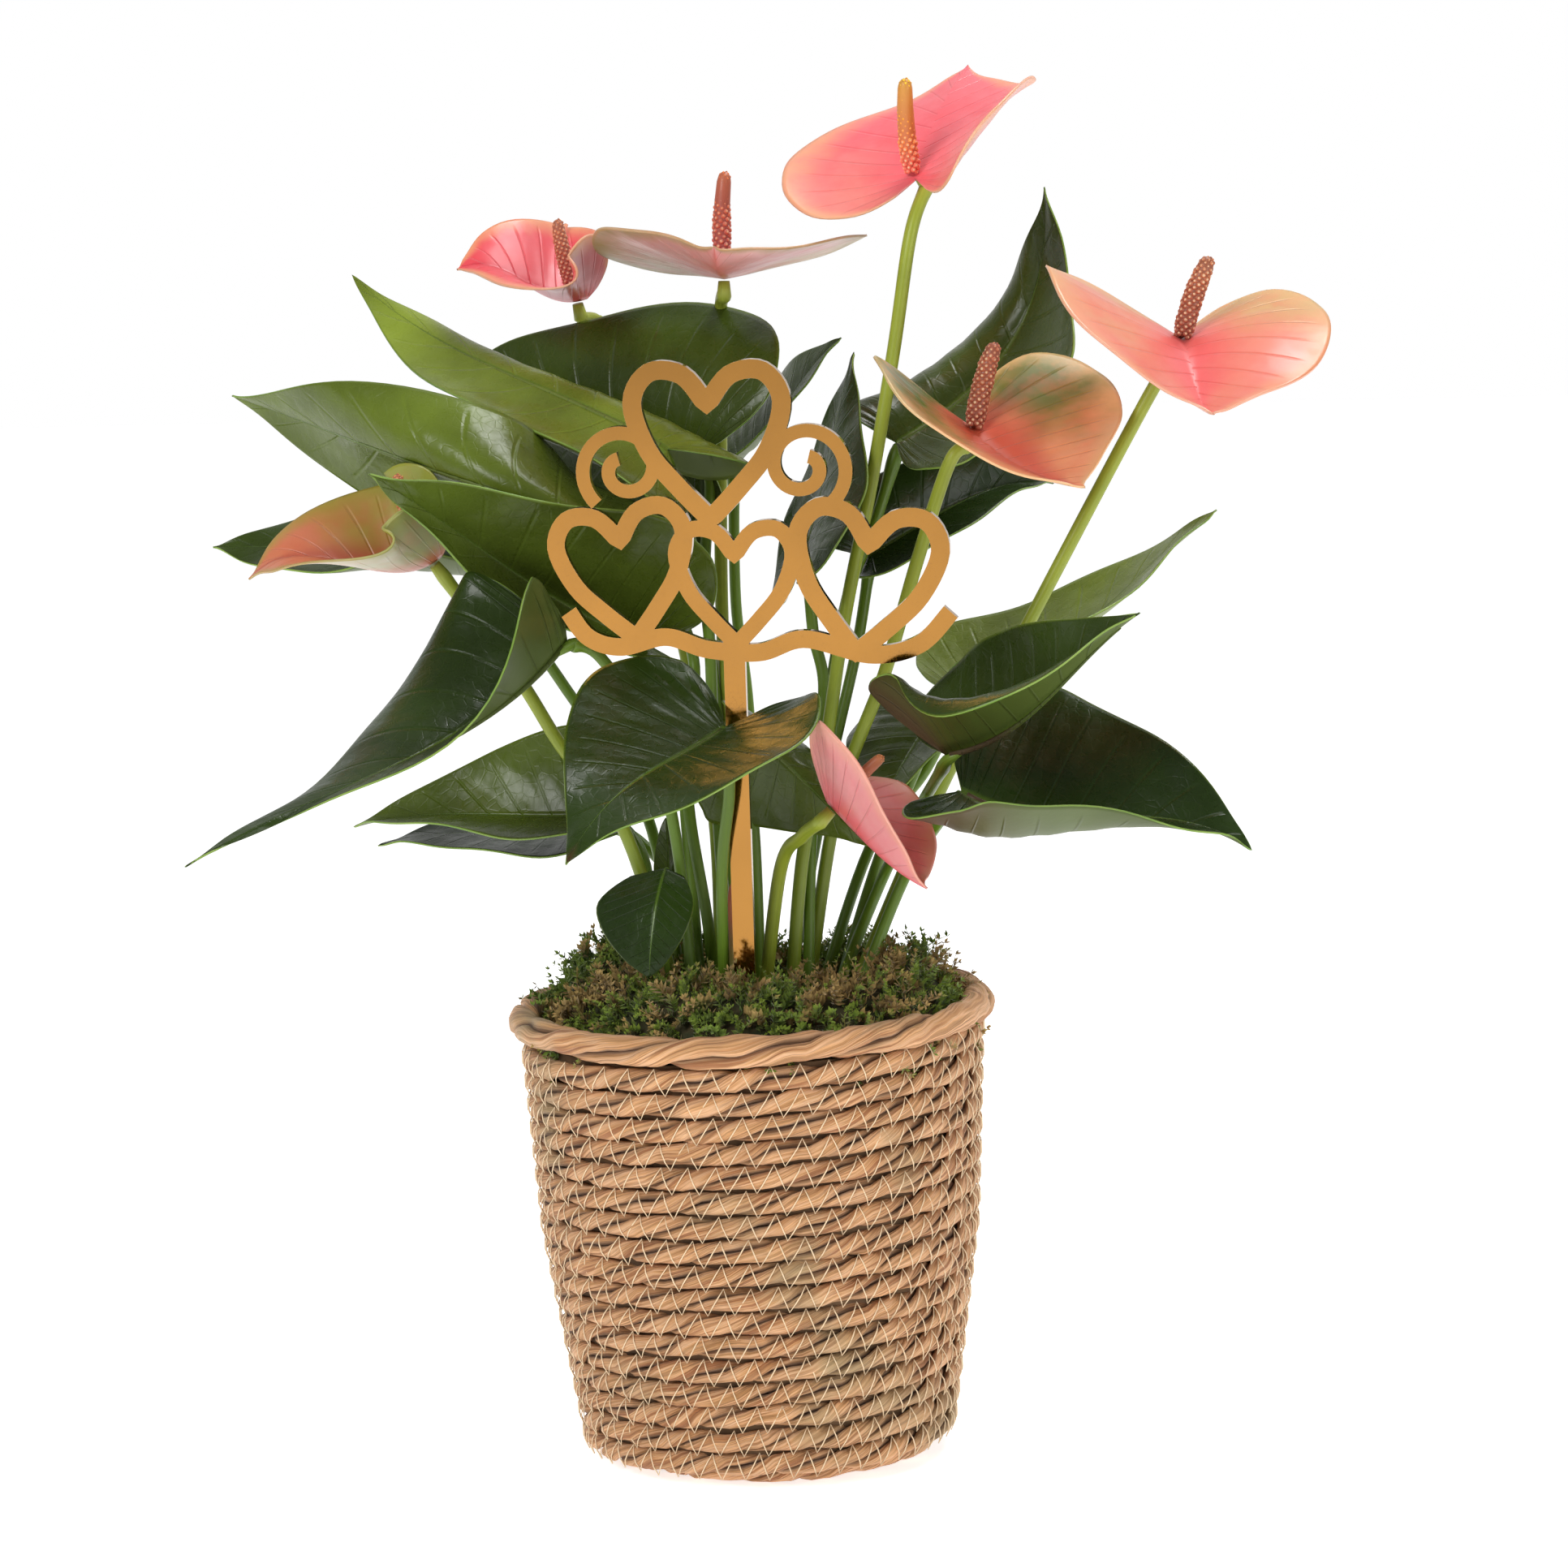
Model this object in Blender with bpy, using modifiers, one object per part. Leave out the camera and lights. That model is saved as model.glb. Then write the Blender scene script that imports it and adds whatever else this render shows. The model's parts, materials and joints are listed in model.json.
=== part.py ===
# Potted anthurium: a flowering plant in its grow pot, inside a stitched seagrass basket.
# Metres, +Z up. The origin is the middle of the basket's flat underside, the viewer stands at -Y.
# Places of leaves and blooms are given in millimetres, as measured on the plant.
import math

import bmesh
import bpy
from mathutils import Matrix, Vector

MM = 0.001
GAP = 0.3 * MM             # clearance between pieces that touch in life
WELD = 0.001 * MM          # points nearer than this are one point
TURNED_WELD = 0.05 * MM    # the same for turned shapes, which meet on their axis

# Basket: stitched rope rows over a flat coiled floor
BASKET_HEIGHT = 145.5 * MM
BASKET_FOOT_RADIUS = 51 * MM   # of the flat underside
BASKET_FOOT_ROUND = (5.5 * MM, 2.5 * MM)
BASKET_LOW_RADIUS = 60.5 * MM
BASKET_MID_RADIUS = 69.3 * MM
BASKET_TOP_RADIUS = 73.3 * MM
BASKET_LOW_Z = 8 * MM
BASKET_MID_Z = 73 * MM
BASKET_WALL = 6 * MM
BASKET_FLOOR = 6 * MM
BASKET_STEPS = 46          # facets round the wall, an even number
ROPE_ROWS = 17
ROPE_RELIEF = 1.3 * MM     # depth of the groove between two rows
PLY_RELIEF = 0.5 * MM      # alternate swell of the two twisted plies
RIM_ROPE_RADIUS = 5 * MM
RIM_RADIUS = 76.5 * MM
BASKET_LEAN = -3 * MM      # the mouth stands this far to the left of the floor
BASKET_RISE = 2 * MM       # and this much higher at its right side

# Liner, grow pot, soil, moss
LINER_THICKNESS = 0.8 * MM
LINER_TOP = 112 * MM
LINER_STEPS = 32
POT_WALL = 1.2 * MM
POT_TOP_RADIUS = 59 * MM
POT_BOTTOM_RADIUS = 43 * MM
POT_HEIGHT = 118 * MM
POT_LIP = 8 * MM           # height of the stepped lip
POT_LIP_STEP = 2.5 * MM
POT_STEPS = 36
POT_SHIFT = BASKET_LEAN * 0.4
SOIL_TOP = 121 * MM
HOLE_DEPTH = 12 * MM
HOLE_CLEARANCE = 1.04      # a hole's corners stand out this much, so its flats clear the stalk
MOSS_OUTER_RADIUS = 64.2 * MM
MOSS_OPENING = (40 * MM, 32 * MM)
MOSS_CENTRE = (3 * MM, 3 * MM)
MOSS_SHIFT = BASKET_LEAN * 0.85
MOSS_STEPS = 44
MOSS_LUMP = 1.2 * MM
MOSS_FLAT = 5 * MM         # the mat's lowest part stays even
# Section of the mat from its inner foot over its crown to its outer foot: distance outward from the
# opening and height over the pot's rim.
MOSS_INNER = ((0, 0), (-1, 17), (5, 27), (13, 24))
# The same, with the distance inward from the outer edge.
MOSS_OUTER = ((3, 17), (0, 12), (0.3, 0))

# Stalks and blades
STALK_SIDES = 1            # bevel resolution of every stalk: six sides
PETIOLE_RADIUS = 2.0 * MM
SMALL_PETIOLE_RADIUS = 1.3 * MM
PEDUNCLE_RADIUS = 2.3 * MM
LEAF_THICKNESS = 0.9 * MM
SPATHE_THICKNESS = 0.9 * MM
SMALL_LEAF = 36 * MM       # leaves shorter than this have plain halves
TONGUE = 6 * MM            # length of a petiole's end along its blade, up to the share below
TONGUE_SHARE = 0.06
TONGUE_DEPTH = 0.5 * MM    # its middle lies this far under the midrib
SEAT = 3 * MM              # from a spathe's base to where it sits on its stalk
SEAT_SHARE = 0.05          # where along the blade the seat's normal is taken
SEAT_SLACK = 0.3 * MM      # for the curve of the spathe over the flat end of its stalk
NECK = 5 * MM              # the last stretch of a flower stalk, square to the spathe
SPADIX_SIDES = 2           # bevel resolution of a spadix
SPADIX_SINK = 0.75         # its foot starts this many girths under its middle on the spathe
SPADIX_LIFT = 0.8          # and that middle lies this many girths over the spathe
SPADIX_BEND = 0.03         # bow of the spadix as a share of its length
SPADIX_PROFILE = (
    (0, 0.45), (0.05, 0.8), (0.15, 0.98), (0.4, 1), (0.7, 0.88), (0.9, 0.72), (0.97, 0.5), (1, 0.2),
)
SHOOT_PROFILE = ((0.4, 1), (0.75, 0.75), (1, 0.15))
COLLAR_Z = 135             # mm, the level at which the stalks stand upright and apart

# Pick: mirror acrylic sheet on a stake
PICK_THICKNESS = 3 * MM
PICK_STAKE_WIDTH = 6.6 * MM
PICK_FOOT = Vector((-4, -21, 109.5)) * MM
PICK_YAW = math.radians(-8)
PICK_LEAN = math.radians(4)

# The pick's openwork, hearts and scrolls joined in one sheet. Places are millimetres from the stake's
# foot in the sheet's own plane: x to the right, y up.
PICK_STAKE_TOP = 152
PICK_BAND = (
    (-51, 161), (-45, 153), (-35, 150), (-21, 153), (-8, 149), (8, 148), (22, 152), (42, 147), (57, 150),
    (67, 160),
)
PICK_BAND_STROKE = 5.5 * MM
BAND_STEPS = 20            # straight runs along the band
HEART_STEPS = 7            # along half a heart
SCROLL_STEPS = 18          # along a scroll
HEART_HALF = ((0, 0.22), (0.16, 0.42), (0.38, 0.44), (0.5, 0.24), (0.4, -0.08), (0.2, -0.33), (0, -0.54))
PICK_HEARTS = (
    dict(centre=(-6, 214), size=46, turn=0, stroke=5.8),
    dict(centre=(-33, 174), size=40, turn=8, stroke=5.5),
    dict(centre=(41, 171), size=44, turn=-8, stroke=5.8),
    dict(centre=(1, 170), size=36, turn=0, stroke=5),
)
PICK_SCROLLS = (
    dict(centre=(-32, 205), start_radius=3.5, end_radius=14, start=120, sweep=470, stroke=4.2),
    dict(centre=(23, 205), start_radius=3.5, end_radius=14, start=60, sweep=-470, stroke=4.2),
)

# Half outline of a blade laid flat, from the sinus round the lobe to the tip. Along and across are
# fractions of the blade's length and half width; the third value is where that part's vein starts.
LEAF_EDGE = (
    (0, 0, 0), (-0.07, 0.12, 0), (-0.15, 0.34, 0), (-0.165, 0.60, 0), (-0.09, 0.86, 0.02), (0.06, 1.0, 0.06),
    (0.24, 0.97, 0.14), (0.42, 0.80, 0.27), (0.60, 0.56, 0.43), (0.76, 0.32, 0.60), (0.89, 0.13, 0.78),
    (0.97, 0.03, 0.93), (1, 0, 1),
)
SPATHE_EDGE = (
    (0, 0, 0), (-0.10, 0.14, 0), (-0.22, 0.40, 0), (-0.24, 0.70, 0), (-0.12, 0.93, 0.02), (0.08, 1.0, 0.06),
    (0.30, 0.96, 0.14), (0.52, 0.82, 0.27), (0.72, 0.58, 0.43), (0.87, 0.33, 0.60), (0.96, 0.13, 0.78),
    (1.02, 0.03, 0.95), (1.06, 0, 1.06),
)
BUD_LEAF_EDGE = (
    (0, 0, 0), (0.03, 0.55, 0), (0.30, 1, 0.12), (0.62, 0.86, 0.40), (0.88, 0.42, 0.75), (1, 0, 1),
)
LEAF_WIDEST = 0.06         # along the blade, where its widest points are
SPATHE_WIDEST = 0.08
BUD_LEAF_WIDEST = 0.30
FOLD_LIMIT = math.radians(72)  # the two halves of a blade never close further than this

# Each blade: base and tip of the midrib, widest point of its left and right half (seen with the tip
# hanging down), bow of the midrib, cup of each half, turn of each half toward the tip in degrees, size of
# the lobes, and the stalk: its place in the soil and the points that it passes. Where a blade is rolled at
# its tip, taper is the share by which each half narrows there.
LEAVES = {
    "leaf_01": dict(base=(-16, 48, 314), tip=(-97, 118, 343), left=(2, 66, 358), right=(-34, 49, 283),
                    bow=(3, 5), cup=(-7, 4), turn=(-10, -40), lobe=0.9,
                    root=(-7, 6), via=((-12, 30, 226), (-15, 30, 275), (-13, 45, 303))),
    "leaf_02": dict(base=(-26, 21, 317), tip=(-132, 110, 373), left=(-25, 53, 310), right=(-50, 4, 316),
                    bow=(2, -12), cup=(-10, 6), turn=(-30, 0), lobe=0.85,
                    root=(-9, -4), via=((-13, 12, 215), (-15, 14, 269))),
    "leaf_03": dict(base=(-47, -4, 296), tip=(-169, 72, 335), left=(-60, 24, 312), right=(-68, 30, 287),
                    bow=(48, -5), cup=(-9, 4), turn=(117, 64), lobe=1.0,
                    root=(-14, 5), via=((-16, -3, 168), (-21, -3, 203), (-22, 8, 227), (-19, 27, 247),
                                        (-25, 24, 268), (-37, 10, 286))),
    "leaf_04": dict(base=(-34, 24, 255), tip=(-116, -31, 314), left=(-21, -13, 294), right=(-43, -7, 258),
                    bow=(-21, 3), cup=(-1, 5), turn=(-12, -35), lobe=0.7,
                    root=(-18, -5), via=((-22, 9, 193), (-25, 19, 228))),
    "leaf_05": dict(base=(-87, 64, 278), tip=(-178, 80, 285), left=(-87, 98, 289), right=(-96, 29, 284),
                    bow=(6, 2), cup=(-2, 5), turn=(25, -25), lobe=1.0,
                    root=(-24, 21), via=((-36, 40, 199), (-61, 51, 238))),
    "leaf_06": dict(base=(-57.4, -21.8, 261), tip=(-164.5, -121, 206.5), left=(-105.6, -29.4, 259),
                    right=(-63.9, -37.2, 282), bow=(-17.9, 1.8), cup=(-11.1, 1.1), turn=(-129, -152),
                    lobe=0.13, taper=(0.52, 0.8),
                    root=(-20, -15), via=((-25, -12, 195), (-33, -15, 231), (-47, -19, 255))),
    "leaf_07": dict(base=(-47, 35, 199), tip=(-133, 64, 193), left=(-54, 43, 228), right=(-62, 6, 196),
                    bow=(-2, 10), cup=(2, -2), turn=(-20, -5), lobe=0.9,
                    root=(-31, -7), via=((-36, 22, 184),)),
    "leaf_08": dict(base=(-52, 56, 195), tip=(-125, 61, 187), left=(-57, 83, 202), right=(-59, 31, 188),
                    bow=(-5, 5), cup=(0, 0), turn=(-5, 0), lobe=1.0,
                    root=(-23, 12), via=((-25, 33, 171), (-38, 48, 188))),
    "leaf_09": dict(base=(-9, -42, 235), tip=(-55, -115, 204), left=(-47, -36, 253), right=(19, -68, 240),
                    bow=(1, 17), cup=(0, 1), turn=(-20, -35), lobe=0.9,
                    root=(-11, -15), via=((-11, -29, 187), (-8, -37, 215))),
    "leaf_10": dict(base=(-6, -1, 233), tip=(35, -24, 195), left=(-17, 8, 202), right=(8, 12, 227),
                    bow=(7, -1), cup=(-2, -4), turn=(-10, 20), lobe=1.2,
                    root=(0, 2), via=((-1, 0, 199),)),
    "leaf_11": dict(base=(63, -42, 214), tip=(150, -57, 196), left=(62, -99, 217), right=(89, -5, 241),
                    bow=(-12, 15), cup=(10, -3), turn=(35, 15), lobe=0.9,
                    root=(26, -15), via=((46, -4, 182),)),
    "leaf_12": dict(base=(58, -47, 226), tip=(114, -94, 272), left=(62.9, -79.2, 253.6),
                    right=(55.2, -26.7, 251.2), bow=(-12.4, 1.4), cup=(-8.8, 1.8), turn=(-120, 32),
                    lobe=1.02, taper=(-0.09, -0.3),
                    root=(19, -9), via=((41, 17, 182),)),
    "leaf_13": dict(base=(66, 43, 236), tip=(151, 55, 292), left=(79, 5, 252), right=(62, 80, 253),
                    bow=(-16, 0), cup=(1, 2), turn=(-15, -5), lobe=0.5,
                    root=(17, 20), via=((36, 31, 187), (55, 48, 210))),
    "leaf_14": dict(base=(58, 36, 229), tip=(36, -6, 201), left=(33, 46, 226), right=(70, 22, 229),
                    bow=(1, 1), cup=(-2, 0), turn=(0, 15), lobe=1.2,
                    root=(22, 10), via=((39, 25, 185),)),
    "leaf_15": dict(base=(47, 33, 317), tip=(96, 47, 397), left=(118.4, 38, 340.8), right=(65.2, 68, 345),
                    bow=(-24.5, -36.4), cup=(3, -6), turn=(16, -64), lobe=0.5, taper=(-0.9, -0.9),
                    root=(15, 2), via=((17, 10, 191), (22, 17, 227), (30, 24, 268), (40, 29, 293))),
    "leaf_16": dict(base=(38, 47, 280), tip=(100, 84, 300), left=(54, 25, 282), right=(33, 55, 301),
                    bow=(5, 15), cup=(1, -4), turn=(-5, 10), lobe=1.0,
                    root=(7, 16), via=((23, 32, 210), (33, 41, 250))),
    "leaf_17": dict(base=(16, 11, 281), tip=(34, 36, 346), left=(31, -15, 295), right=(9, 37, 283),
                    bow=(-2, 1), cup=(-2, 1), turn=(-25, 10), lobe=1.0,
                    root=(8, 6), via=((17, 5, 208), (22, 13, 240), (19, 10, 259))),
    "leaf_18": dict(base=(-7, 124, 308), tip=(31, 101, 349), left=(-10, 101, 308), right=(-2, 145, 323),
                    bow=(-6, 3), cup=(2, -2), turn=(-10, 5), lobe=1.0,
                    root=(-1, 12), via=((-2, 70, 222), (-6, 96, 262))),
    "leaf_19": dict(base=(-28.5, -20, 189), tip=(-34, -34, 157), left=(-51, -20, 173), right=(-21, -30, 174),
                    bow=(6, 5), cup=(0, 0), turn=(0, 0), lobe=0.8,
                    root=(-27, -13), via=((-30, -17, 170),)),
    "leaf_20": dict(base=(-28.5, 8, 174), tip=(-29, 10, 201), left=(-24, 10, 184), right=(-33, 8, 184),
                    bow=(2, 3), cup=(0, 0), turn=(0, 0), lobe=0.4,
                    root=(-28.5, 8), via=((-28.5, 8, 160),)),
}
BLOOMS = {
    "bloom_1": dict(base=(54, 15, 400), tip=(72, 65, 435), left=(82, -10, 425), right=(13, 30, 404),
                    bow=(4, 3), cup=(4, 2), turn=(-35, -20), lobe=1.2,
                    root=(9, -5), via=((14, -4, 188), (22, 3, 223), (29, 5, 264), (38, 8, 305), (46, 11, 347),
                                       (52, 13, 383)),
                    spadix=(51, 8, 431), girth=3.0),
    "bloom_2": dict(base=(-7, 54, 370), tip=(-9, -17, 379), left=(-49, 50, 383), right=(39, 47, 383),
                    bow=(-1, -7), cup=(0, 0), turn=(20, 0), lobe=1.0,
                    root=(-6, 18), via=((-8, 32, 210), (-10, 38, 267), (-9, 79, 343), (-9, 83, 358),
                                        (-9, 77, 368)),
                    spadix=(-6, 52, 404), girth=3.0),
    "bloom_3": dict(base=(-53, 94, 364), tip=(-93, 88, 375), left=(-60, 124, 388), right=(-58, 53, 376),
                    bow=(-10, 9), cup=(-1, 0), turn=(10, -45), lobe=1.2,
                    root=(-13, 15), via=((-14, 36, 199), (-26, 57, 266), (-48, 98, 347), (-50, 101, 356)),
                    spadix=(-62, 91, 390), girth=2.6),
    "bloom_4": dict(base=(135, 0, 349), tip=(139, -56, 328), left=(93, -15, 371), right=(180, -4, 356),
                    bow=(4, -8), cup=(0, -3), turn=(0, -10), lobe=1.3,
                    root=(25, 1), via=((57, 3, 207), (86, -2, 261), (127, 0, 335)),
                    spadix=(144, -2, 374), girth=3.2),
    "bloom_5": dict(base=(68, -6, 324), tip=(99, -54, 307), left=(42, -39, 340), right=(112, 5, 337),
                    bow=(-5, -5), cup=(2, -1), turn=(-10, 0), lobe=1.2,
                    root=(14, 12), via=((25, 10, 202), (41, 2, 246), (52, -1, 282), (62, -8, 312)),
                    spadix=(77, -8, 349), girth=3.2),
    "bloom_6": dict(base=(-97, 4, 286), tip=(-155, 3, 282), left=(-114, 17, 312), right=(-112, -24, 296),
                    bow=(-15, 15), cup=(0, 2), turn=(-40, -40), lobe=1.0,
                    root=(-24, 2), via=((-41, -2, 197), (-61, 4, 225), (-74, 4, 247)),
                    spadix=(-110, -1, 312), girth=2.6),
    "bloom_7": dict(base=(22, -46, 212), tip=(49, -74, 190), left=(23, -72, 237), right=(49, -25, 211),
                    bow=(-1, -3), cup=(0, 0), turn=(0, -10), lobe=0.7,
                    root=(0, -9), via=((7, -18, 187), (14, -34, 200)),
                    spadix=(39, -48, 226), girth=2.2),
}
SHOOT = dict(root=(-9.5, -9.5), tip=(-8, -11, 183), girth=1.7)


def colour_material(name, rgb, roughness, metallic=0.0):
    material = bpy.data.materials.new(name)
    material.use_nodes = True
    shader = material.node_tree.nodes["Principled BSDF"]
    shader.inputs["Base Color"].default_value = (*rgb, 1)
    shader.inputs["Roughness"].default_value = roughness
    shader.inputs["Metallic"].default_value = metallic
    material.diffuse_color = (*rgb, 1)
    return material


def new_object(name, mesh, collection, material=None):
    obj = bpy.data.objects.new(name, mesh)
    collection.objects.link(obj)
    if material:
        mesh.materials.append(material)
    return obj


def apply_modifiers(obj):
    bpy.context.view_layer.update()
    graph = bpy.context.evaluated_depsgraph_get()
    mesh = bpy.data.meshes.new_from_object(obj.evaluated_get(graph))
    old = obj.data
    obj.modifiers.clear()
    obj.data = mesh
    bpy.data.meshes.remove(old)


def tidy_mesh(obj, weld=WELD):
    shape = bmesh.new()
    shape.from_mesh(obj.data)
    bmesh.ops.remove_doubles(shape, verts=shape.verts, dist=weld)
    bmesh.ops.dissolve_degenerate(shape, edges=shape.edges, dist=weld)
    bmesh.ops.recalc_face_normals(shape, faces=shape.faces)
    shape.to_mesh(obj.data)
    shape.free()


def combine(obj, operand, operation="UNION"):
    # One Boolean with another object or with a whole collection, applied, and the operand removed.
    modifier = obj.modifiers.new("combine", "BOOLEAN")
    modifier.operation = operation
    modifier.solver = "EXACT"
    modifier.use_self = True
    if isinstance(operand, bpy.types.Collection):
        modifier.operand_type = "COLLECTION"
        modifier.collection = operand
        spent = list(operand.objects)
    else:
        modifier.object = operand
        spent = [operand]
    apply_modifiers(obj)
    for other in spent:
        bpy.data.objects.remove(other)
    tidy_mesh(obj)


def set_origin(obj, point):
    obj.data.transform(Matrix.Translation(-point))
    obj.location = point


def smooth_value(values, place):
    # Catmull-Rom through evenly spaced values.
    last = len(values) - 1
    i = min(int(place), last - 1)
    f = place - i
    before, start, end, after = values[max(i - 1, 0)], values[i], values[i + 1], values[min(i + 2, last)]
    return 0.5 * (2 * start + (end - before) * f + (2 * before - 5 * start + 4 * end - after) * f * f
                  + (3 * start - before - 3 * end + after) * f ** 3)


def smooth_path(points, steps):
    last = len(points) - 1
    return [smooth_value(points, last * i / steps) for i in range(steps + 1)]


def tube(name, points, radii, collection, material=None, sides=STALK_SIDES):
    # A closed round stalk along the points, with its own radius at each of them.
    curve = bpy.data.curves.new(name, "CURVE")
    curve.dimensions = "3D"
    curve.bevel_depth = 1.0
    curve.bevel_resolution = sides
    curve.use_fill_caps = True
    curve.twist_mode = "MINIMUM"
    spline = curve.splines.new("POLY")
    spline.points.add(len(points) - 1)
    for i, (point, radius) in enumerate(zip(points, radii)):
        spline.points[i].co = (*point, 1)
        spline.points[i].radius = radius
    carrier = bpy.data.objects.new(name, curve)
    collection.objects.link(carrier)
    bpy.context.view_layer.update()
    graph = bpy.context.evaluated_depsgraph_get()
    mesh = bpy.data.meshes.new_from_object(carrier.evaluated_get(graph))
    mesh.transform(carrier.matrix_world)
    bpy.data.objects.remove(carrier)
    bpy.data.curves.remove(curve)
    mesh.materials.clear()
    obj = new_object(name, mesh, collection, material)
    tidy_mesh(obj)
    return obj


class Blade:
    # The curved surface of one leaf or spathe, found from its landmarks.
    def __init__(self, spec, edge, widest):
        landmarks = [Vector(spec[key]) * MM for key in ("base", "tip", "left", "right")]
        self.base, self.tip, left, right = landmarks
        self.edge = edge
        self.lobe = spec["lobe"]
        self.cup = [value * MM for value in spec["cup"]]
        self.turn = [math.radians(value) for value in spec["turn"]]
        self.taper = spec.get("taper", (0, 0))
        self.widest = widest
        chord = self.tip - self.base
        self.length = chord.length
        along = chord.normalized()
        middle = self.base + chord * widest
        for _ in range(3):
            to_left = self.across(left - middle, along)
            to_right = self.across(right - middle, along)
            self.side = (to_right.normalized() - to_left.normalized()).normalized()
            up = along.cross(self.side)
            self.rib = (self.base, self.base + chord / 3 + up * spec["bow"][0] * MM,
                        self.base + chord * 2 / 3 + up * spec["bow"][1] * MM, self.tip)
            middle, tangent = self.midrib(widest)
        up = tangent.cross(self.side)
        halves = [self.across(point - middle, tangent) for point in (left, right)]
        self.width = [half.length for half in halves]
        self.fold = [math.atan2(halves[0].dot(up), -halves[0].dot(self.side)),
                     math.atan2(halves[1].dot(up), halves[1].dot(self.side))]

    @staticmethod
    def across(vector, axis):
        return vector - axis * vector.dot(axis)

    def midrib(self, along):
        # Place and direction on the midrib's Bezier, which runs on straight outside 0 to 1.
        t = min(max(along, 0), 1)
        p0, p1, p2, p3 = self.rib
        place = p0 * (1 - t) ** 3 + p1 * 3 * (1 - t) ** 2 * t + p2 * 3 * (1 - t) * t * t + p3 * t ** 3
        tangent = ((p1 - p0) * (1 - t) ** 2 + (p2 - p1) * 2 * (1 - t) * t + (p3 - p2) * t * t).normalized()
        return place + tangent * (along - t) * self.length, tangent

    def normal(self, along):
        return self.midrib(along)[1].cross(self.side).normalized()

    def point(self, station, across):
        # Station counts along the edge list, across runs from -1 at the left edge to 1 at the right edge.
        along, width, vein = (smooth_value([row[k] for row in self.edge], station) for k in range(3))
        if along < 0:
            along *= self.lobe
        reach = abs(across)
        half = 0 if across < 0 else 1
        share = min(max((along - self.widest) / 0.7, 0), 1)
        width *= 1 - self.taper[half] * share * share * (3 - 2 * share)
        along = vein + (along - vein) * reach
        width *= reach
        place, tangent = self.midrib(along)
        up = tangent.cross(self.side)
        angle = self.fold[half] + self.turn[half] * (along - self.widest)
        angle = max(-FOLD_LIMIT, min(FOLD_LIMIT, angle))
        outward = self.side * (math.cos(angle) * (1 if half else -1)) + up * math.sin(angle)
        return place + outward * width * self.width[half] + up * self.cup[half] * 4 * width * (width - 1)


def blade_object(name, blade, thickness, collection, material, columns=2):
    # The first station is left out, as it is the base itself, where the rays of the next ones meet.
    shape = bmesh.new()
    rows = len(blade.edge) - 2
    bmesh.ops.create_grid(shape, x_segments=rows, y_segments=2 * columns, size=1)
    for vert in shape.verts:
        vert.co = blade.point(1 + (vert.co.x + 1) / 2 * rows, vert.co.y)
    bmesh.ops.remove_doubles(shape, verts=shape.verts, dist=0.05 * MM)
    bmesh.ops.dissolve_degenerate(shape, edges=shape.edges, dist=0.05 * MM)
    bmesh.ops.triangulate(shape, faces=shape.faces)
    bmesh.ops.recalc_face_normals(shape, faces=shape.faces)
    mesh = bpy.data.meshes.new(name)
    shape.to_mesh(mesh)
    shape.free()
    obj = new_object(name, mesh, collection, material)
    solidify = obj.modifiers.new("thickness", "SOLIDIFY")
    solidify.thickness = thickness
    solidify.offset = 0
    solidify.use_even_offset = True
    solidify.thickness_clamp = 1
    apply_modifiers(obj)
    tidy_mesh(obj)
    return obj


def stalk_points(spec, end_points):
    # From the bottom of the soil hole, up through the collar, past the via points to the blade.
    x, y = spec["root"]
    foot = Vector((x, y, (SOIL_TOP - HOLE_DEPTH + GAP) / MM)) * MM
    collar = Vector((x, y, COLLAR_Z)) * MM
    route = [collar] + [Vector(point) * MM for point in spec["via"]] + end_points
    steps = 2 * (len(route) - 1) + 1
    return [foot] + smooth_path(route, steps)


def make_leaf(name, spec, collection, material):
    blade = Blade(spec, LEAF_EDGE, LEAF_WIDEST)
    girth = PETIOLE_RADIUS
    columns = 2
    if blade.length < SMALL_LEAF:
        blade = Blade(spec, BUD_LEAF_EDGE, BUD_LEAF_WIDEST)
        girth = SMALL_PETIOLE_RADIUS
        columns = 1
    leaf = blade_object(name, blade, LEAF_THICKNESS, collection, material, columns)
    up = blade.normal(0)
    points = stalk_points(spec, [blade.base - up * girth])
    tongue, _ = blade.midrib(min(TONGUE_SHARE, TONGUE / blade.length))
    points.append(tongue - up * TONGUE_DEPTH)
    radii = [girth] * (len(points) - 2) + [girth * 0.85, girth * 0.4]
    stalk = tube(name + "_stalk", points, radii, collection)
    combine(leaf, stalk)
    set_origin(leaf, points[0])
    return leaf


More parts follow.
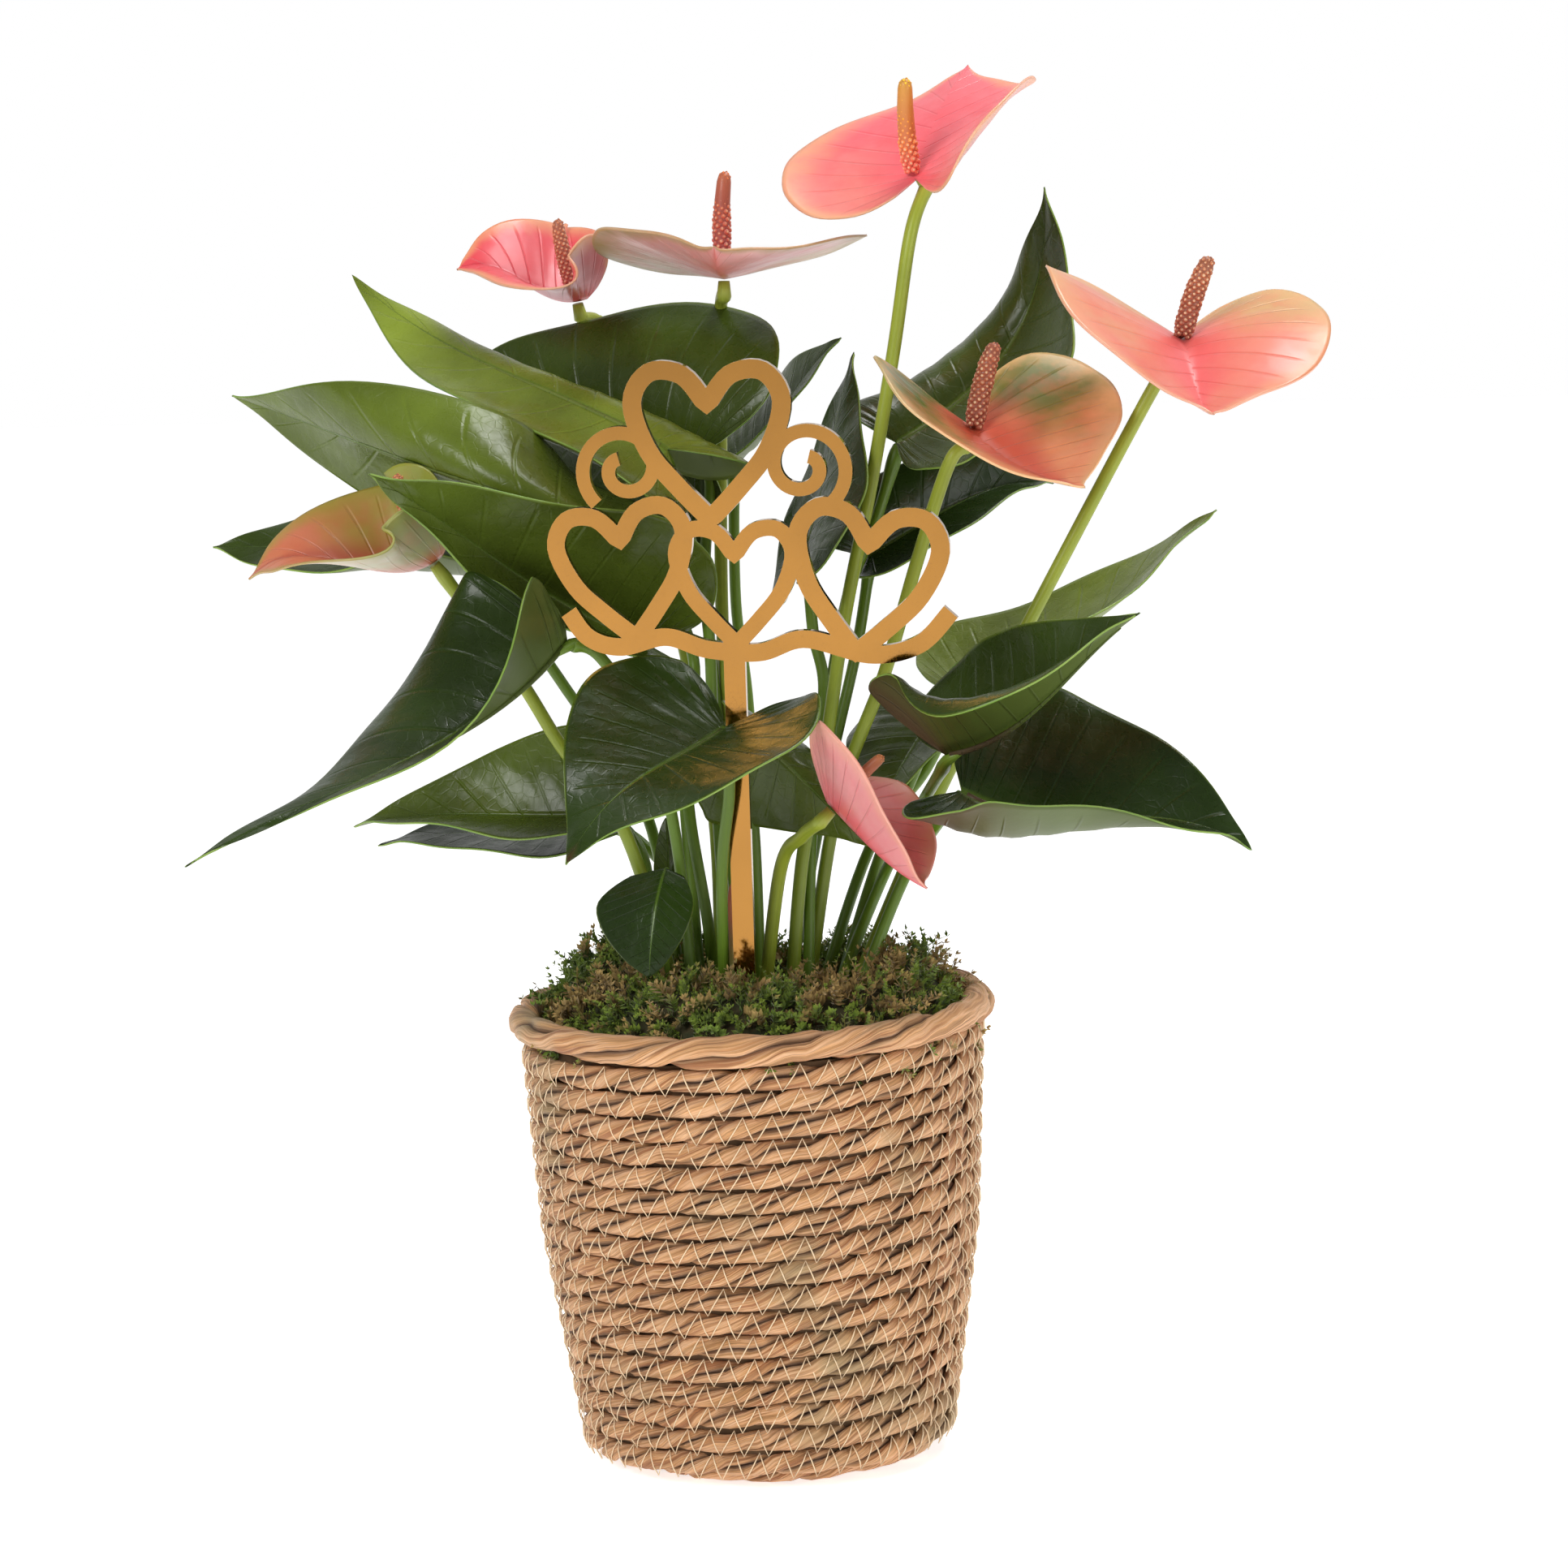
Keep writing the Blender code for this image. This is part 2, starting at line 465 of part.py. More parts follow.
def make_bloom(name, spec, collection, materials):
    blade = Blade(spec, SPATHE_EDGE, SPATHE_WIDEST)
    spathe = blade_object(name + "_spathe", blade, SPATHE_THICKNESS, collection, materials["spathe"])
    seat, _ = blade.midrib(SEAT / blade.length)
    up = blade.normal(SEAT_SHARE)
    under = seat - up * (SPATHE_THICKNESS / 2 + GAP + SEAT_SLACK)
    points = stalk_points(spec, [under - up * NECK]) + [under]
    radii = [PEDUNCLE_RADIUS] * (len(points) - 1) + [PEDUNCLE_RADIUS * 0.7]
    stalk = tube(name + "_stalk", points, radii, collection, materials["stalk"])
    girth = spec["girth"] * MM
    fold = max(abs(angle) for angle in blade.fold)
    centre = seat + up * (girth * SPADIX_LIFT + SPATHE_THICKNESS / 2 + 2 * GAP) / math.cos(fold)
    top = Vector(spec["spadix"]) * MM
    axis = top - centre
    foot = centre - axis.normalized() * girth * SPADIX_SINK
    bend = axis.normalized().cross(Vector((0, 1, 0))) * axis.length * SPADIX_BEND
    spine = [foot + (top - foot) * t + bend * 4 * t * (1 - t) for t, _ in SPADIX_PROFILE]
    radii = [girth * share for _, share in SPADIX_PROFILE]
    spadix = tube(name + "_spadix", spine, radii, collection, materials["spadix"], SPADIX_SIDES)
    set_origin(spathe, seat)
    set_origin(spadix, foot)
    set_origin(stalk, points[0])


def make_shoot(collection, material):
    x, y = SHOOT["root"]
    foot = Vector((x, y, (SOIL_TOP - HOLE_DEPTH + GAP) / MM)) * MM
    collar = Vector((x, y, COLLAR_Z)) * MM
    top = Vector(SHOOT["tip"]) * MM
    girth = SHOOT["girth"] * MM
    points = [foot, collar] + [collar.lerp(top, t) for t, _ in SHOOT_PROFILE]
    radii = [girth, girth] + [girth * share for _, share in SHOOT_PROFILE]
    shoot = tube("shoot", points, radii, collection, material)
    set_origin(shoot, foot)


def spun(name, profile, steps, collection, material):
    # A closed profile of (radius, height) turned about the vertical axis.
    mesh = bpy.data.meshes.new(name)
    mesh.from_pydata([(r, 0, z) for r, z in profile], [(i, i + 1) for i in range(len(profile) - 1)], [])
    obj = new_object(name, mesh, collection, material)
    screw = obj.modifiers.new("turn", "SCREW")
    screw.steps = steps
    screw.render_steps = steps
    screw.use_merge_vertices = True
    screw.merge_threshold = TURNED_WELD
    apply_modifiers(obj)
    tidy_mesh(obj, TURNED_WELD)
    return obj


def basket_radius(z):
    # Outer radius of the wall, in two gently flaring stretches.
    if z < BASKET_MID_Z:
        part = (z - BASKET_LOW_Z) / (BASKET_MID_Z - BASKET_LOW_Z)
        return BASKET_LOW_RADIUS + (BASKET_MID_RADIUS - BASKET_LOW_RADIUS) * part
    part = (z - BASKET_MID_Z) / (BASKET_HEIGHT - BASKET_MID_Z)
    return BASKET_MID_RADIUS + (BASKET_TOP_RADIUS - BASKET_MID_RADIUS) * part


def lean_point(point):
    # The handmade basket leans a little and its mouth rises to the right.
    share = point.z / BASKET_HEIGHT
    return Vector((point.x + BASKET_LEAN * share, point.y,
                   point.z + BASKET_RISE * share * point.x / RIM_RADIUS))


def lean_object(obj):
    for vert in obj.data.vertices:
        vert.co = lean_point(vert.co)


def make_basket(collection, material):
    profile = [(0, 0), (BASKET_FOOT_RADIUS, 0),
               (BASKET_FOOT_RADIUS + BASKET_FOOT_ROUND[0], BASKET_FOOT_ROUND[1])]
    wall_top = BASKET_HEIGHT - 2 * RIM_ROPE_RADIUS
    row_height = (wall_top - BASKET_LOW_Z) / ROPE_ROWS
    crests = []
    for row in range(ROPE_ROWS):
        z = BASKET_LOW_Z + row_height * row
        profile.append((basket_radius(z) - ROPE_RELIEF, z))
        crest = z + row_height / 2
        crests.append(crest)
        profile.append((basket_radius(crest), crest))
    profile.append((basket_radius(wall_top) - ROPE_RELIEF, wall_top))
    rim_middle = RIM_RADIUS - RIM_ROPE_RADIUS
    for angle in (-30, 0, 45, 90, 135, 180):
        turn = math.radians(angle)
        profile.append((rim_middle + RIM_ROPE_RADIUS * math.cos(turn),
                        BASKET_HEIGHT - RIM_ROPE_RADIUS + RIM_ROPE_RADIUS * math.sin(turn)))
    for z in (wall_top - 4 * MM, BASKET_MID_Z):
        profile.append((basket_radius(z) - BASKET_WALL, z))
    profile.append((BASKET_LOW_RADIUS - BASKET_WALL, BASKET_FLOOR + 3 * MM))
    profile.append((BASKET_FOOT_RADIUS - 2 * MM, BASKET_FLOOR))
    profile.append((0, BASKET_FLOOR))
    basket = spun("basket", profile, BASKET_STEPS, collection, material)
    # Every second step of a row swells outward, one row the other way round from the next.
    for vert in basket.data.vertices:
        near = min(range(ROPE_ROWS), key=lambda row: abs(crests[row] - vert.co.z))
        radius = math.hypot(vert.co.x, vert.co.y)
        outside = radius > basket_radius(crests[near]) - BASKET_WALL / 2
        if outside and abs(crests[near] - vert.co.z) < WELD:
            step = round(math.atan2(vert.co.y, vert.co.x) / math.tau * BASKET_STEPS)
            swell = PLY_RELIEF * (1 if (step + near) % 2 else -1)
            vert.co.x *= 1 + swell / radius
            vert.co.y *= 1 + swell / radius
    lean_object(basket)
    tidy_mesh(basket)


def make_liner(collection, material):
    inset = BASKET_WALL + 3 * GAP
    floor = BASKET_FLOOR + GAP
    floor_edge = BASKET_FOOT_RADIUS - 3 * MM
    low = (BASKET_LOW_RADIUS - inset - 2 * GAP, BASKET_FLOOR + 4 * MM)
    outer = [(0, floor), (floor_edge, floor), low, (basket_radius(BASKET_MID_Z) - inset, BASKET_MID_Z),
             (basket_radius(LINER_TOP) - inset, LINER_TOP)]
    inner = [(r - LINER_THICKNESS, z) for r, z in reversed(outer[2:])]
    inner += [(floor_edge - LINER_THICKNESS / 2, floor + LINER_THICKNESS), (0, floor + LINER_THICKNESS)]
    liner = spun("liner", outer + inner, LINER_STEPS, collection, material)
    lean_object(liner)
    tidy_mesh(liner)


def pot_radius(z):
    # Outer radius of the tapering wall under the lip.
    part = (z - pot_bottom()) / POT_HEIGHT
    return POT_BOTTOM_RADIUS + (POT_TOP_RADIUS - POT_LIP_STEP - POT_BOTTOM_RADIUS) * part


def pot_bottom():
    return BASKET_FLOOR + LINER_THICKNESS + 2 * GAP


def make_pot(collection, material):
    bottom = pot_bottom()
    top = bottom + POT_HEIGHT
    lip = top - POT_LIP
    corner = 2 * MM
    profile = [(0, bottom), (POT_BOTTOM_RADIUS - corner, bottom), (POT_BOTTOM_RADIUS, bottom + corner),
               (pot_radius(lip), lip), (POT_TOP_RADIUS, lip + POT_WALL), (POT_TOP_RADIUS, top),
               (POT_TOP_RADIUS - POT_WALL, top), (pot_radius(top) - POT_WALL, lip + 2 * POT_WALL),
               (POT_BOTTOM_RADIUS - POT_WALL, bottom + corner),
               (POT_BOTTOM_RADIUS - corner - POT_WALL, bottom + POT_WALL), (0, bottom + POT_WALL)]
    pot = spun("grow_pot", profile, POT_STEPS, collection, material)
    pot.data.transform(Matrix.Translation((POT_SHIFT, 0, 0)))


def make_soil(collection, cutters, material, stalks):
    bottom = pot_bottom() + POT_WALL + GAP
    slack = POT_WALL + 3 * GAP
    corner = 3 * MM
    shoulder = SOIL_TOP - corner
    profile = [(0, bottom), (POT_BOTTOM_RADIUS - slack - corner, bottom),
               (POT_BOTTOM_RADIUS - slack, bottom + corner), (pot_radius(shoulder) - slack, shoulder),
               (pot_radius(shoulder) - slack - corner, SOIL_TOP), (0, SOIL_TOP)]
    soil = spun("soil", profile, POT_STEPS, collection, material)
    soil.data.transform(Matrix.Translation((POT_SHIFT, 0, 0)))
    for name, (x, y), radius in stalks:
        floor = SOIL_TOP - HOLE_DEPTH
        mouth = SOIL_TOP + HOLE_DEPTH
        tube("hole_" + name, [Vector((x * MM, y * MM, floor)), Vector((x * MM, y * MM, mouth))],
             [(radius + GAP) * HOLE_CLEARANCE] * 2, cutters)
    depth = 3 * HOLE_DEPTH
    slot = box("slot", (PICK_STAKE_WIDTH + 2 * GAP, PICK_THICKNESS + 2 * GAP, depth), cutters)
    slot.data.transform(pick_frame() @ Matrix.Translation((0, 0, depth / 2 - GAP)))
    combine(soil, cutters, "DIFFERENCE")


def box(name, size, collection, material=None):
    shape = bmesh.new()
    bmesh.ops.create_cube(shape, size=1)
    bmesh.ops.scale(shape, vec=size, verts=shape.verts)
    mesh = bpy.data.meshes.new(name)
    shape.to_mesh(mesh)
    shape.free()
    return new_object(name, mesh, collection, material)


def make_moss(collection, material):
    # A thick mat with an opening for the stalks; it lies on the pot's rim and is lumpy above.
    under = pot_bottom() + POT_HEIGHT + GAP
    opening = MOSS_OPENING[0]
    outer = MOSS_OUTER_RADIUS
    section = [(opening + x * MM, under + z * MM) for x, z in MOSS_INNER]
    section += [(outer - x * MM, under + z * MM) for x, z in MOSS_OUTER]
    section.append(section[0])
    moss = spun("moss", section, MOSS_STEPS, collection, material)
    squash = MOSS_OPENING[1] / opening
    for vert in moss.data.vertices:
        radius = math.hypot(vert.co.x, vert.co.y)
        angle = math.atan2(vert.co.y, vert.co.x)
        inner = min(max((outer - radius) / (outer - opening), 0), 1)
        raised = vert.co.z > under + MOSS_FLAT
        vert.co.y *= 1 + (squash - 1) * inner
        vert.co.x += MOSS_CENTRE[0] * inner + MOSS_SHIFT
        vert.co.y += MOSS_CENTRE[1] * inner
        if raised:
            lump = (math.sin(3 * angle + 1.1) + 0.7 * math.sin(7 * angle + 40 * radius / outer)
                    + 0.5 * math.sin(11 * angle))
            vert.co.z += MOSS_LUMP * lump * min(1, inner * 2 + 0.2)
            vert.co.z += BASKET_RISE * vert.co.x / RIM_RADIUS
    tidy_mesh(moss)


def pick_frame():
    turn = Matrix.Rotation(PICK_YAW, 4, "Z") @ Matrix.Rotation(PICK_LEAN, 4, "X")
    return Matrix.Translation(PICK_FOOT) @ turn


def ribbon(name, points, width, collection, closed=False):
    # A flat strip of even width through points in the sheet's own plane, cut through its full thickness.
    count = len(points)
    shape = bmesh.new()
    pairs = []
    for i, point in enumerate(points):
        before = points[(i - 1) % count] if closed or i > 0 else point
        after = points[(i + 1) % count] if closed or i < count - 1 else point
        direction = (after - before).normalized()
        normal = Vector((-direction.y, direction.x))
        pairs.append([shape.verts.new((*(point + normal * width / 2 * side), 0)) for side in (1, -1)])
    for i in range(count if closed else count - 1):
        a, b = pairs[i], pairs[(i + 1) % count]
        shape.faces.new((a[0], b[0], b[1], a[1]))
    extruded = bmesh.ops.extrude_face_region(shape, geom=shape.faces[:])
    lifted = [item for item in extruded["geom"] if isinstance(item, bmesh.types.BMVert)]
    bmesh.ops.translate(shape, verts=lifted, vec=(0, 0, PICK_THICKNESS))
    bmesh.ops.translate(shape, verts=shape.verts, vec=(0, 0, -PICK_THICKNESS / 2))
    bmesh.ops.rotate(shape, verts=shape.verts, cent=(0, 0, 0), matrix=Matrix.Rotation(math.pi / 2, 3, "X"))
    bmesh.ops.recalc_face_normals(shape, faces=shape.faces)
    mesh = bpy.data.meshes.new(name)
    shape.to_mesh(mesh)
    shape.free()
    return new_object(name, mesh, collection)


def heart_points(heart):
    # Each half is smoothed by itself, so the dip and the tip stay sharp.
    half = smooth_path([Vector(point) for point in HEART_HALF], HEART_STEPS)
    other = [Vector((-point.x, point.y)) for point in half[-2:0:-1]]
    rotation = Matrix.Rotation(math.radians(heart["turn"]), 2)
    centre = Vector(heart["centre"]) * MM
    return [centre + rotation @ (point * heart["size"] * MM) for point in half + other]


def scroll_points(scroll):
    points = []
    for i in range(SCROLL_STEPS + 1):
        part = i / SCROLL_STEPS
        angle = math.radians(scroll["start"] + scroll["sweep"] * part)
        radius = scroll["start_radius"] + (scroll["end_radius"] - scroll["start_radius"]) * part
        direction = Vector((math.cos(angle), math.sin(angle)))
        points.append((Vector(scroll["centre"]) + direction * radius) * MM)
    return points


def make_pick(collection, pieces, material):
    stake = box("pick", (PICK_STAKE_WIDTH, PICK_THICKNESS, PICK_STAKE_TOP * MM), collection, material)
    stake.data.transform(Matrix.Translation((0, 0, PICK_STAKE_TOP * MM / 2)))
    for i, heart in enumerate(PICK_HEARTS):
        ribbon(f"heart_{i}", heart_points(heart), heart["stroke"] * MM, pieces, closed=True)
    for i, scroll in enumerate(PICK_SCROLLS):
        ribbon(f"scroll_{i}", scroll_points(scroll), scroll["stroke"] * MM, pieces)
    band = smooth_path([Vector(point) * MM for point in PICK_BAND], BAND_STEPS)
    ribbon("band", band, PICK_BAND_STROKE, pieces)
    combine(stake, pieces)
    stake.matrix_world = pick_frame()


def clear_scene():
    for obj in list(bpy.data.objects):
        bpy.data.objects.remove(obj)


def make_collection(name):
    collection = bpy.data.collections.new(name)
    bpy.context.scene.collection.children.link(collection)
    return collection


def main():
    clear_scene()
    plant = make_collection("potted_anthurium")
    cutters = make_collection("cutters")
    pieces = make_collection("pick_pieces")
    leaf = colour_material("leaf_green", (0.035, 0.13, 0.02), 0.35)
    stalk = colour_material("stalk_green", (0.16, 0.32, 0.03), 0.45)
    spathe = colour_material("spathe_pink", (0.86, 0.24, 0.27), 0.4)
    spadix = colour_material("spadix_orange", (0.62, 0.17, 0.10), 0.6)
    seagrass = colour_material("seagrass", (0.60, 0.38, 0.20), 0.75)
    film = colour_material("clear_film", (0.8, 0.8, 0.8), 0.2)
    plastic = colour_material("pot_plastic", (0.25, 0.12, 0.07), 0.5)
    peat = colour_material("peat", (0.05, 0.03, 0.02), 0.95)
    moss = colour_material("moss_green", (0.10, 0.14, 0.02), 0.9)
    gold = colour_material("gold_mirror", (0.80, 0.50, 0.16), 0.08, 1.0)
    make_basket(plant, seagrass)
    make_liner(plant, film)
    make_pot(plant, plastic)
    stalks = [(name, spec["root"], PETIOLE_RADIUS) for name, spec in LEAVES.items()]
    stalks += [(name, spec["root"], PEDUNCLE_RADIUS) for name, spec in BLOOMS.items()]
    stalks.append(("shoot", SHOOT["root"], SHOOT["girth"] * MM))
    make_soil(plant, cutters, peat, stalks)
    make_moss(plant, moss)
    make_pick(plant, pieces, gold)
    for name, spec in LEAVES.items():
        make_leaf(name, spec, plant, leaf)
    for name, spec in BLOOMS.items():
        make_bloom(name, spec, plant, {"stalk": stalk, "spathe": spathe, "spadix": spadix})
    make_shoot(plant, stalk)
    bpy.data.collections.remove(pieces)
    cutters.hide_render = True


main()
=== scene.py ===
import json
import math

import bmesh
import bpy
import numpy as np
from mathutils import Matrix, Vector

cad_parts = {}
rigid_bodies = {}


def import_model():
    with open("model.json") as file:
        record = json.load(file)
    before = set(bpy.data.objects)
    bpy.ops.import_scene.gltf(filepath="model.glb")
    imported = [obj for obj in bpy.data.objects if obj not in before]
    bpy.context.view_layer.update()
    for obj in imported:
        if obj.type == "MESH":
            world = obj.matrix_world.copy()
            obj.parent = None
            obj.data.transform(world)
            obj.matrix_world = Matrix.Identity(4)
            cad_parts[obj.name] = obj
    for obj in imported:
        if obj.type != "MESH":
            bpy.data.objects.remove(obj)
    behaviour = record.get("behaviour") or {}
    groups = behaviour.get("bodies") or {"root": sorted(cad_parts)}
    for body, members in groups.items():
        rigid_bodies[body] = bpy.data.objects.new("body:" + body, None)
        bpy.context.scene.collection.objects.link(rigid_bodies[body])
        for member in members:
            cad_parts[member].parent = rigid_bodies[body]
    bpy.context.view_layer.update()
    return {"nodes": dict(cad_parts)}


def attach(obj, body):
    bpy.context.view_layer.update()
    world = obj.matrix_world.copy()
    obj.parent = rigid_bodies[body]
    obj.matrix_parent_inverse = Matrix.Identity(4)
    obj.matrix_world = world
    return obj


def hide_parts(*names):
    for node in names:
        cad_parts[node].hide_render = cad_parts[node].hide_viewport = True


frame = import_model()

mm = 0.001

# Places and sizes are millimetres unless said otherwise.
leafLook = dict(thickness=0.6, rows=5, columns=14, wave=0.9, quilt=0.22, rib=1.3)
spatheLook = dict(thickness=0.7, rows=5, columns=16, wave=0.4, quilt=0.1)
stalkLook = dict(sides=12, steps=10, petiole=2.0, small=1.3, peduncle=2.3, seat=1.05)

# A half blade's edge: how far along the midrib, how far out, and where the vein to it leaves the midrib.
leafEdge = np.array([
    (0, 0, 0), (-0.07, 0.12, 0), (-0.15, 0.34, 0), (-0.165, 0.60, 0), (-0.09, 0.86, 0.02),
    (0.06, 1.0, 0.06), (0.24, 0.97, 0.14), (0.42, 0.80, 0.27), (0.60, 0.56, 0.43), (0.76, 0.32, 0.60),
    (0.89, 0.13, 0.78), (0.97, 0.03, 0.93), (1, 0, 1)])
spatheEdge = np.array([
    (0, 0, 0), (-0.10, 0.14, 0), (-0.22, 0.40, 0), (-0.24, 0.70, 0), (-0.12, 0.93, 0.02), (0.08, 1.0, 0.06),
    (0.30, 0.96, 0.14), (0.52, 0.82, 0.27), (0.72, 0.58, 0.43), (0.87, 0.33, 0.60), (0.96, 0.13, 0.78),
    (1.02, 0.03, 0.95), (1.06, 0, 1.06)])
budEdge = np.array([(0, 0, 0), (0.03, 0.55, 0), (0.30, 1, 0.12), (0.62, 0.86, 0.40), (0.88, 0.42, 0.75),
                    (1, 0, 1)])

# Each leaf: its blade from base to tip, with the widest place of each half at left and right. Bow bends the
# midrib, cup hollows a half, turn folds it on toward the tip, lobe lengthens the ears and taper narrows the
# halves. Root and via lead the stalk. Light is the green's brightness, partly the leaf's own tone and partly
# painted light: leaves that catch the light or a sheen are painted brighter and shaded ones darker. tipTone
# and blush are brown patches.
leaves = {
    "01": dict(base=(-16, 48, 314), tip=(-97, 118, 343), left=(2, 66, 358), right=(-34, 49, 283),
               bow=(3, 5), cup=(-7, 4), turn=(-10, -40), lobe=0.9,
               root=(-7, 6), via=((-12, 30, 226), (-15, 30, 275), (-13, 45, 303)), light=0.14),
    "02": dict(base=(-26, 21, 317), tip=(-132, 110, 373), left=(-25, 53, 310), right=(-50, 4, 316),
               bow=(2, -12), cup=(-10, 6), turn=(-30, 0), lobe=0.85,
               root=(-9, -4), via=((-13, 12, 215), (-15, 14, 269)), light=1.0),
    "03": dict(base=(-47, -4, 296), tip=(-169, 72, 335), left=(-60, 24, 312), right=(-68, 30, 287),
               bow=(48, -5), cup=(-9, 4), turn=(117, 64), lobe=1.0,
               root=(-14, 5), via=((-16, -3, 168), (-21, -3, 203), (-22, 8, 227), (-19, 27, 247),
                                   (-25, 24, 268), (-37, 10, 286)), light=0.5),
    "04": dict(base=(-34, 24, 255), tip=(-116, -31, 314), left=(-21, -13, 294), right=(-43, -7, 258),
               bow=(-21, 3), cup=(-1, 5), turn=(-12, -35), lobe=0.7,
               root=(-18, -5), via=((-22, 9, 193), (-25, 19, 228)), light=0.33),
    "05": dict(base=(-87, 64, 278), tip=(-178, 80, 285), left=(-87, 98, 289), right=(-96, 29, 284),
               bow=(6, 2), cup=(-2, 5), turn=(25, -25), lobe=1.0,
               root=(-24, 21), via=((-36, 40, 199), (-61, 51, 238)), light=0.1),
    "06": dict(base=(-57.4, -21.8, 261), tip=(-164.5, -121, 206.5), left=(-105.6, -29.4, 259),
               right=(-63.9, -37.2, 282), bow=(-17.9, 1.8), cup=(-11.1, 1.1), turn=(-129, -152),
               lobe=0.13, taper=(0.52, 0.8),
               root=(-20, -15), via=((-25, -12, 195), (-33, -15, 231), (-47, -19, 255)), light=0.03),
    "07": dict(base=(-47, 35, 199), tip=(-133, 64, 193), left=(-54, 43, 228), right=(-62, 6, 196),
               bow=(-2, 10), cup=(2, -2), turn=(-20, -5), lobe=0.9,
               root=(-31, -7), via=((-36, 22, 184),), light=0.33),
    "08": dict(base=(-52, 56, 195), tip=(-125, 61, 187), left=(-57, 83, 202), right=(-59, 31, 188),
               bow=(-5, 5), cup=(0, 0), turn=(-5, 0), lobe=1.0,
               root=(-23, 12), via=((-25, 33, 171), (-38, 48, 188)), light=0.0),
    "09": dict(base=(-9, -42, 235), tip=(-55, -115, 204), left=(-47, -36, 253), right=(19, -68, 240),
               bow=(1, 17), cup=(0, 1), turn=(-20, -35), lobe=0.9,
               root=(-11, -15), via=((-11, -29, 187), (-8, -37, 215)), light=0.02,
               tipTone=(0.06, 0.03, 0.012)),
    "10": dict(base=(-6, -1, 233), tip=(35, -24, 195), left=(-17, 8, 202), right=(8, 12, 227),
               bow=(7, -1), cup=(-2, -4), turn=(-10, 20), lobe=1.2,
               root=(0, 2), via=((-1, 0, 199),), light=0.3),
    "11": dict(base=(63, -42, 214), tip=(150, -57, 196), left=(62, -99, 217), right=(89, -5, 241),
               bow=(-12, 15), cup=(10, -3), turn=(35, 15), lobe=0.9,
               root=(26, -15), via=((46, -4, 182),), light=0.0, blush=((0.075, 0.035, 0.022), 0.6)),
    "12": dict(base=(58, -47, 226), tip=(114, -94, 272), left=(62.9, -79.2, 253.6),
               right=(55.2, -26.7, 251.2), bow=(-12.4, 1.4), cup=(-8.8, 1.8), turn=(-120, 32),
               lobe=1.02, taper=(-0.09, -0.3),
               root=(19, -9), via=((41, 17, 182),), light=0.07, blush=((0.085, 0.055, 0.03), 0.42)),
    "13": dict(base=(66, 43, 236), tip=(151, 55, 292), left=(79, 5, 252), right=(62, 80, 253),
               bow=(-16, 0), cup=(1, 2), turn=(-15, -5), lobe=0.5,
               root=(17, 20), via=((36, 31, 187), (55, 48, 210)), light=0.85),
    "14": dict(base=(58, 36, 229), tip=(36, -6, 201), left=(33, 46, 226), right=(70, 22, 229),
               bow=(1, 1), cup=(-2, 0), turn=(0, 15), lobe=1.2,
               root=(22, 10), via=((39, 25, 185),), light=0.2),
    "15": dict(base=(47, 33, 317), tip=(96, 47, 397), left=(118.4, 38, 340.8), right=(65.2, 68, 345),
               bow=(-24.5, -36.4), cup=(3, -6), turn=(16, -64), lobe=0.5, taper=(-0.9, -0.9),
               root=(15, 2), via=((17, 10, 191), (22, 17, 227), (30, 24, 268), (40, 29, 293)), light=0.18),
    "16": dict(base=(38, 47, 280), tip=(100, 84, 300), left=(54, 25, 282), right=(33, 55, 301),
               bow=(5, 15), cup=(1, -4), turn=(-5, 10), lobe=1.0,
               root=(7, 16), via=((23, 32, 210), (33, 41, 250)), light=0.0),
    "17": dict(base=(16, 11, 281), tip=(34, 36, 346), left=(31, -15, 295), right=(9, 37, 283),
               bow=(-2, 1), cup=(-2, 1), turn=(-25, 10), lobe=1.0,
               root=(8, 6), via=((17, 5, 208), (22, 13, 240), (19, 10, 259)), light=0.0),
    "18": dict(base=(-7, 124, 308), tip=(31, 101, 349), left=(-10, 101, 308), right=(-2, 145, 323),
               bow=(-6, 3), cup=(2, -2), turn=(-10, 5), lobe=1.0,
               root=(-1, 12), via=((-2, 70, 222), (-6, 96, 262)), light=0.1),
    "19": dict(base=(-28.5, -20, 189), tip=(-34, -34, 157), left=(-51, -20, 173), right=(-21, -30, 174),
               bow=(6, 5), cup=(0, 0), turn=(0, 0), lobe=0.8,
               root=(-27, -13), via=((-30, -17, 170),), light=0.0, bud=True),
    "20": dict(base=(-28.5, 8, 174), tip=(-29, 10, 201), left=(-24, 10, 184), right=(-33, 8, 184),
               bow=(2, 3), cup=(0, 0), turn=(0, 0), lobe=0.4,
               root=(-28.5, 8), via=((-28.5, 8, 160),), light=0.2, bud=True),
}
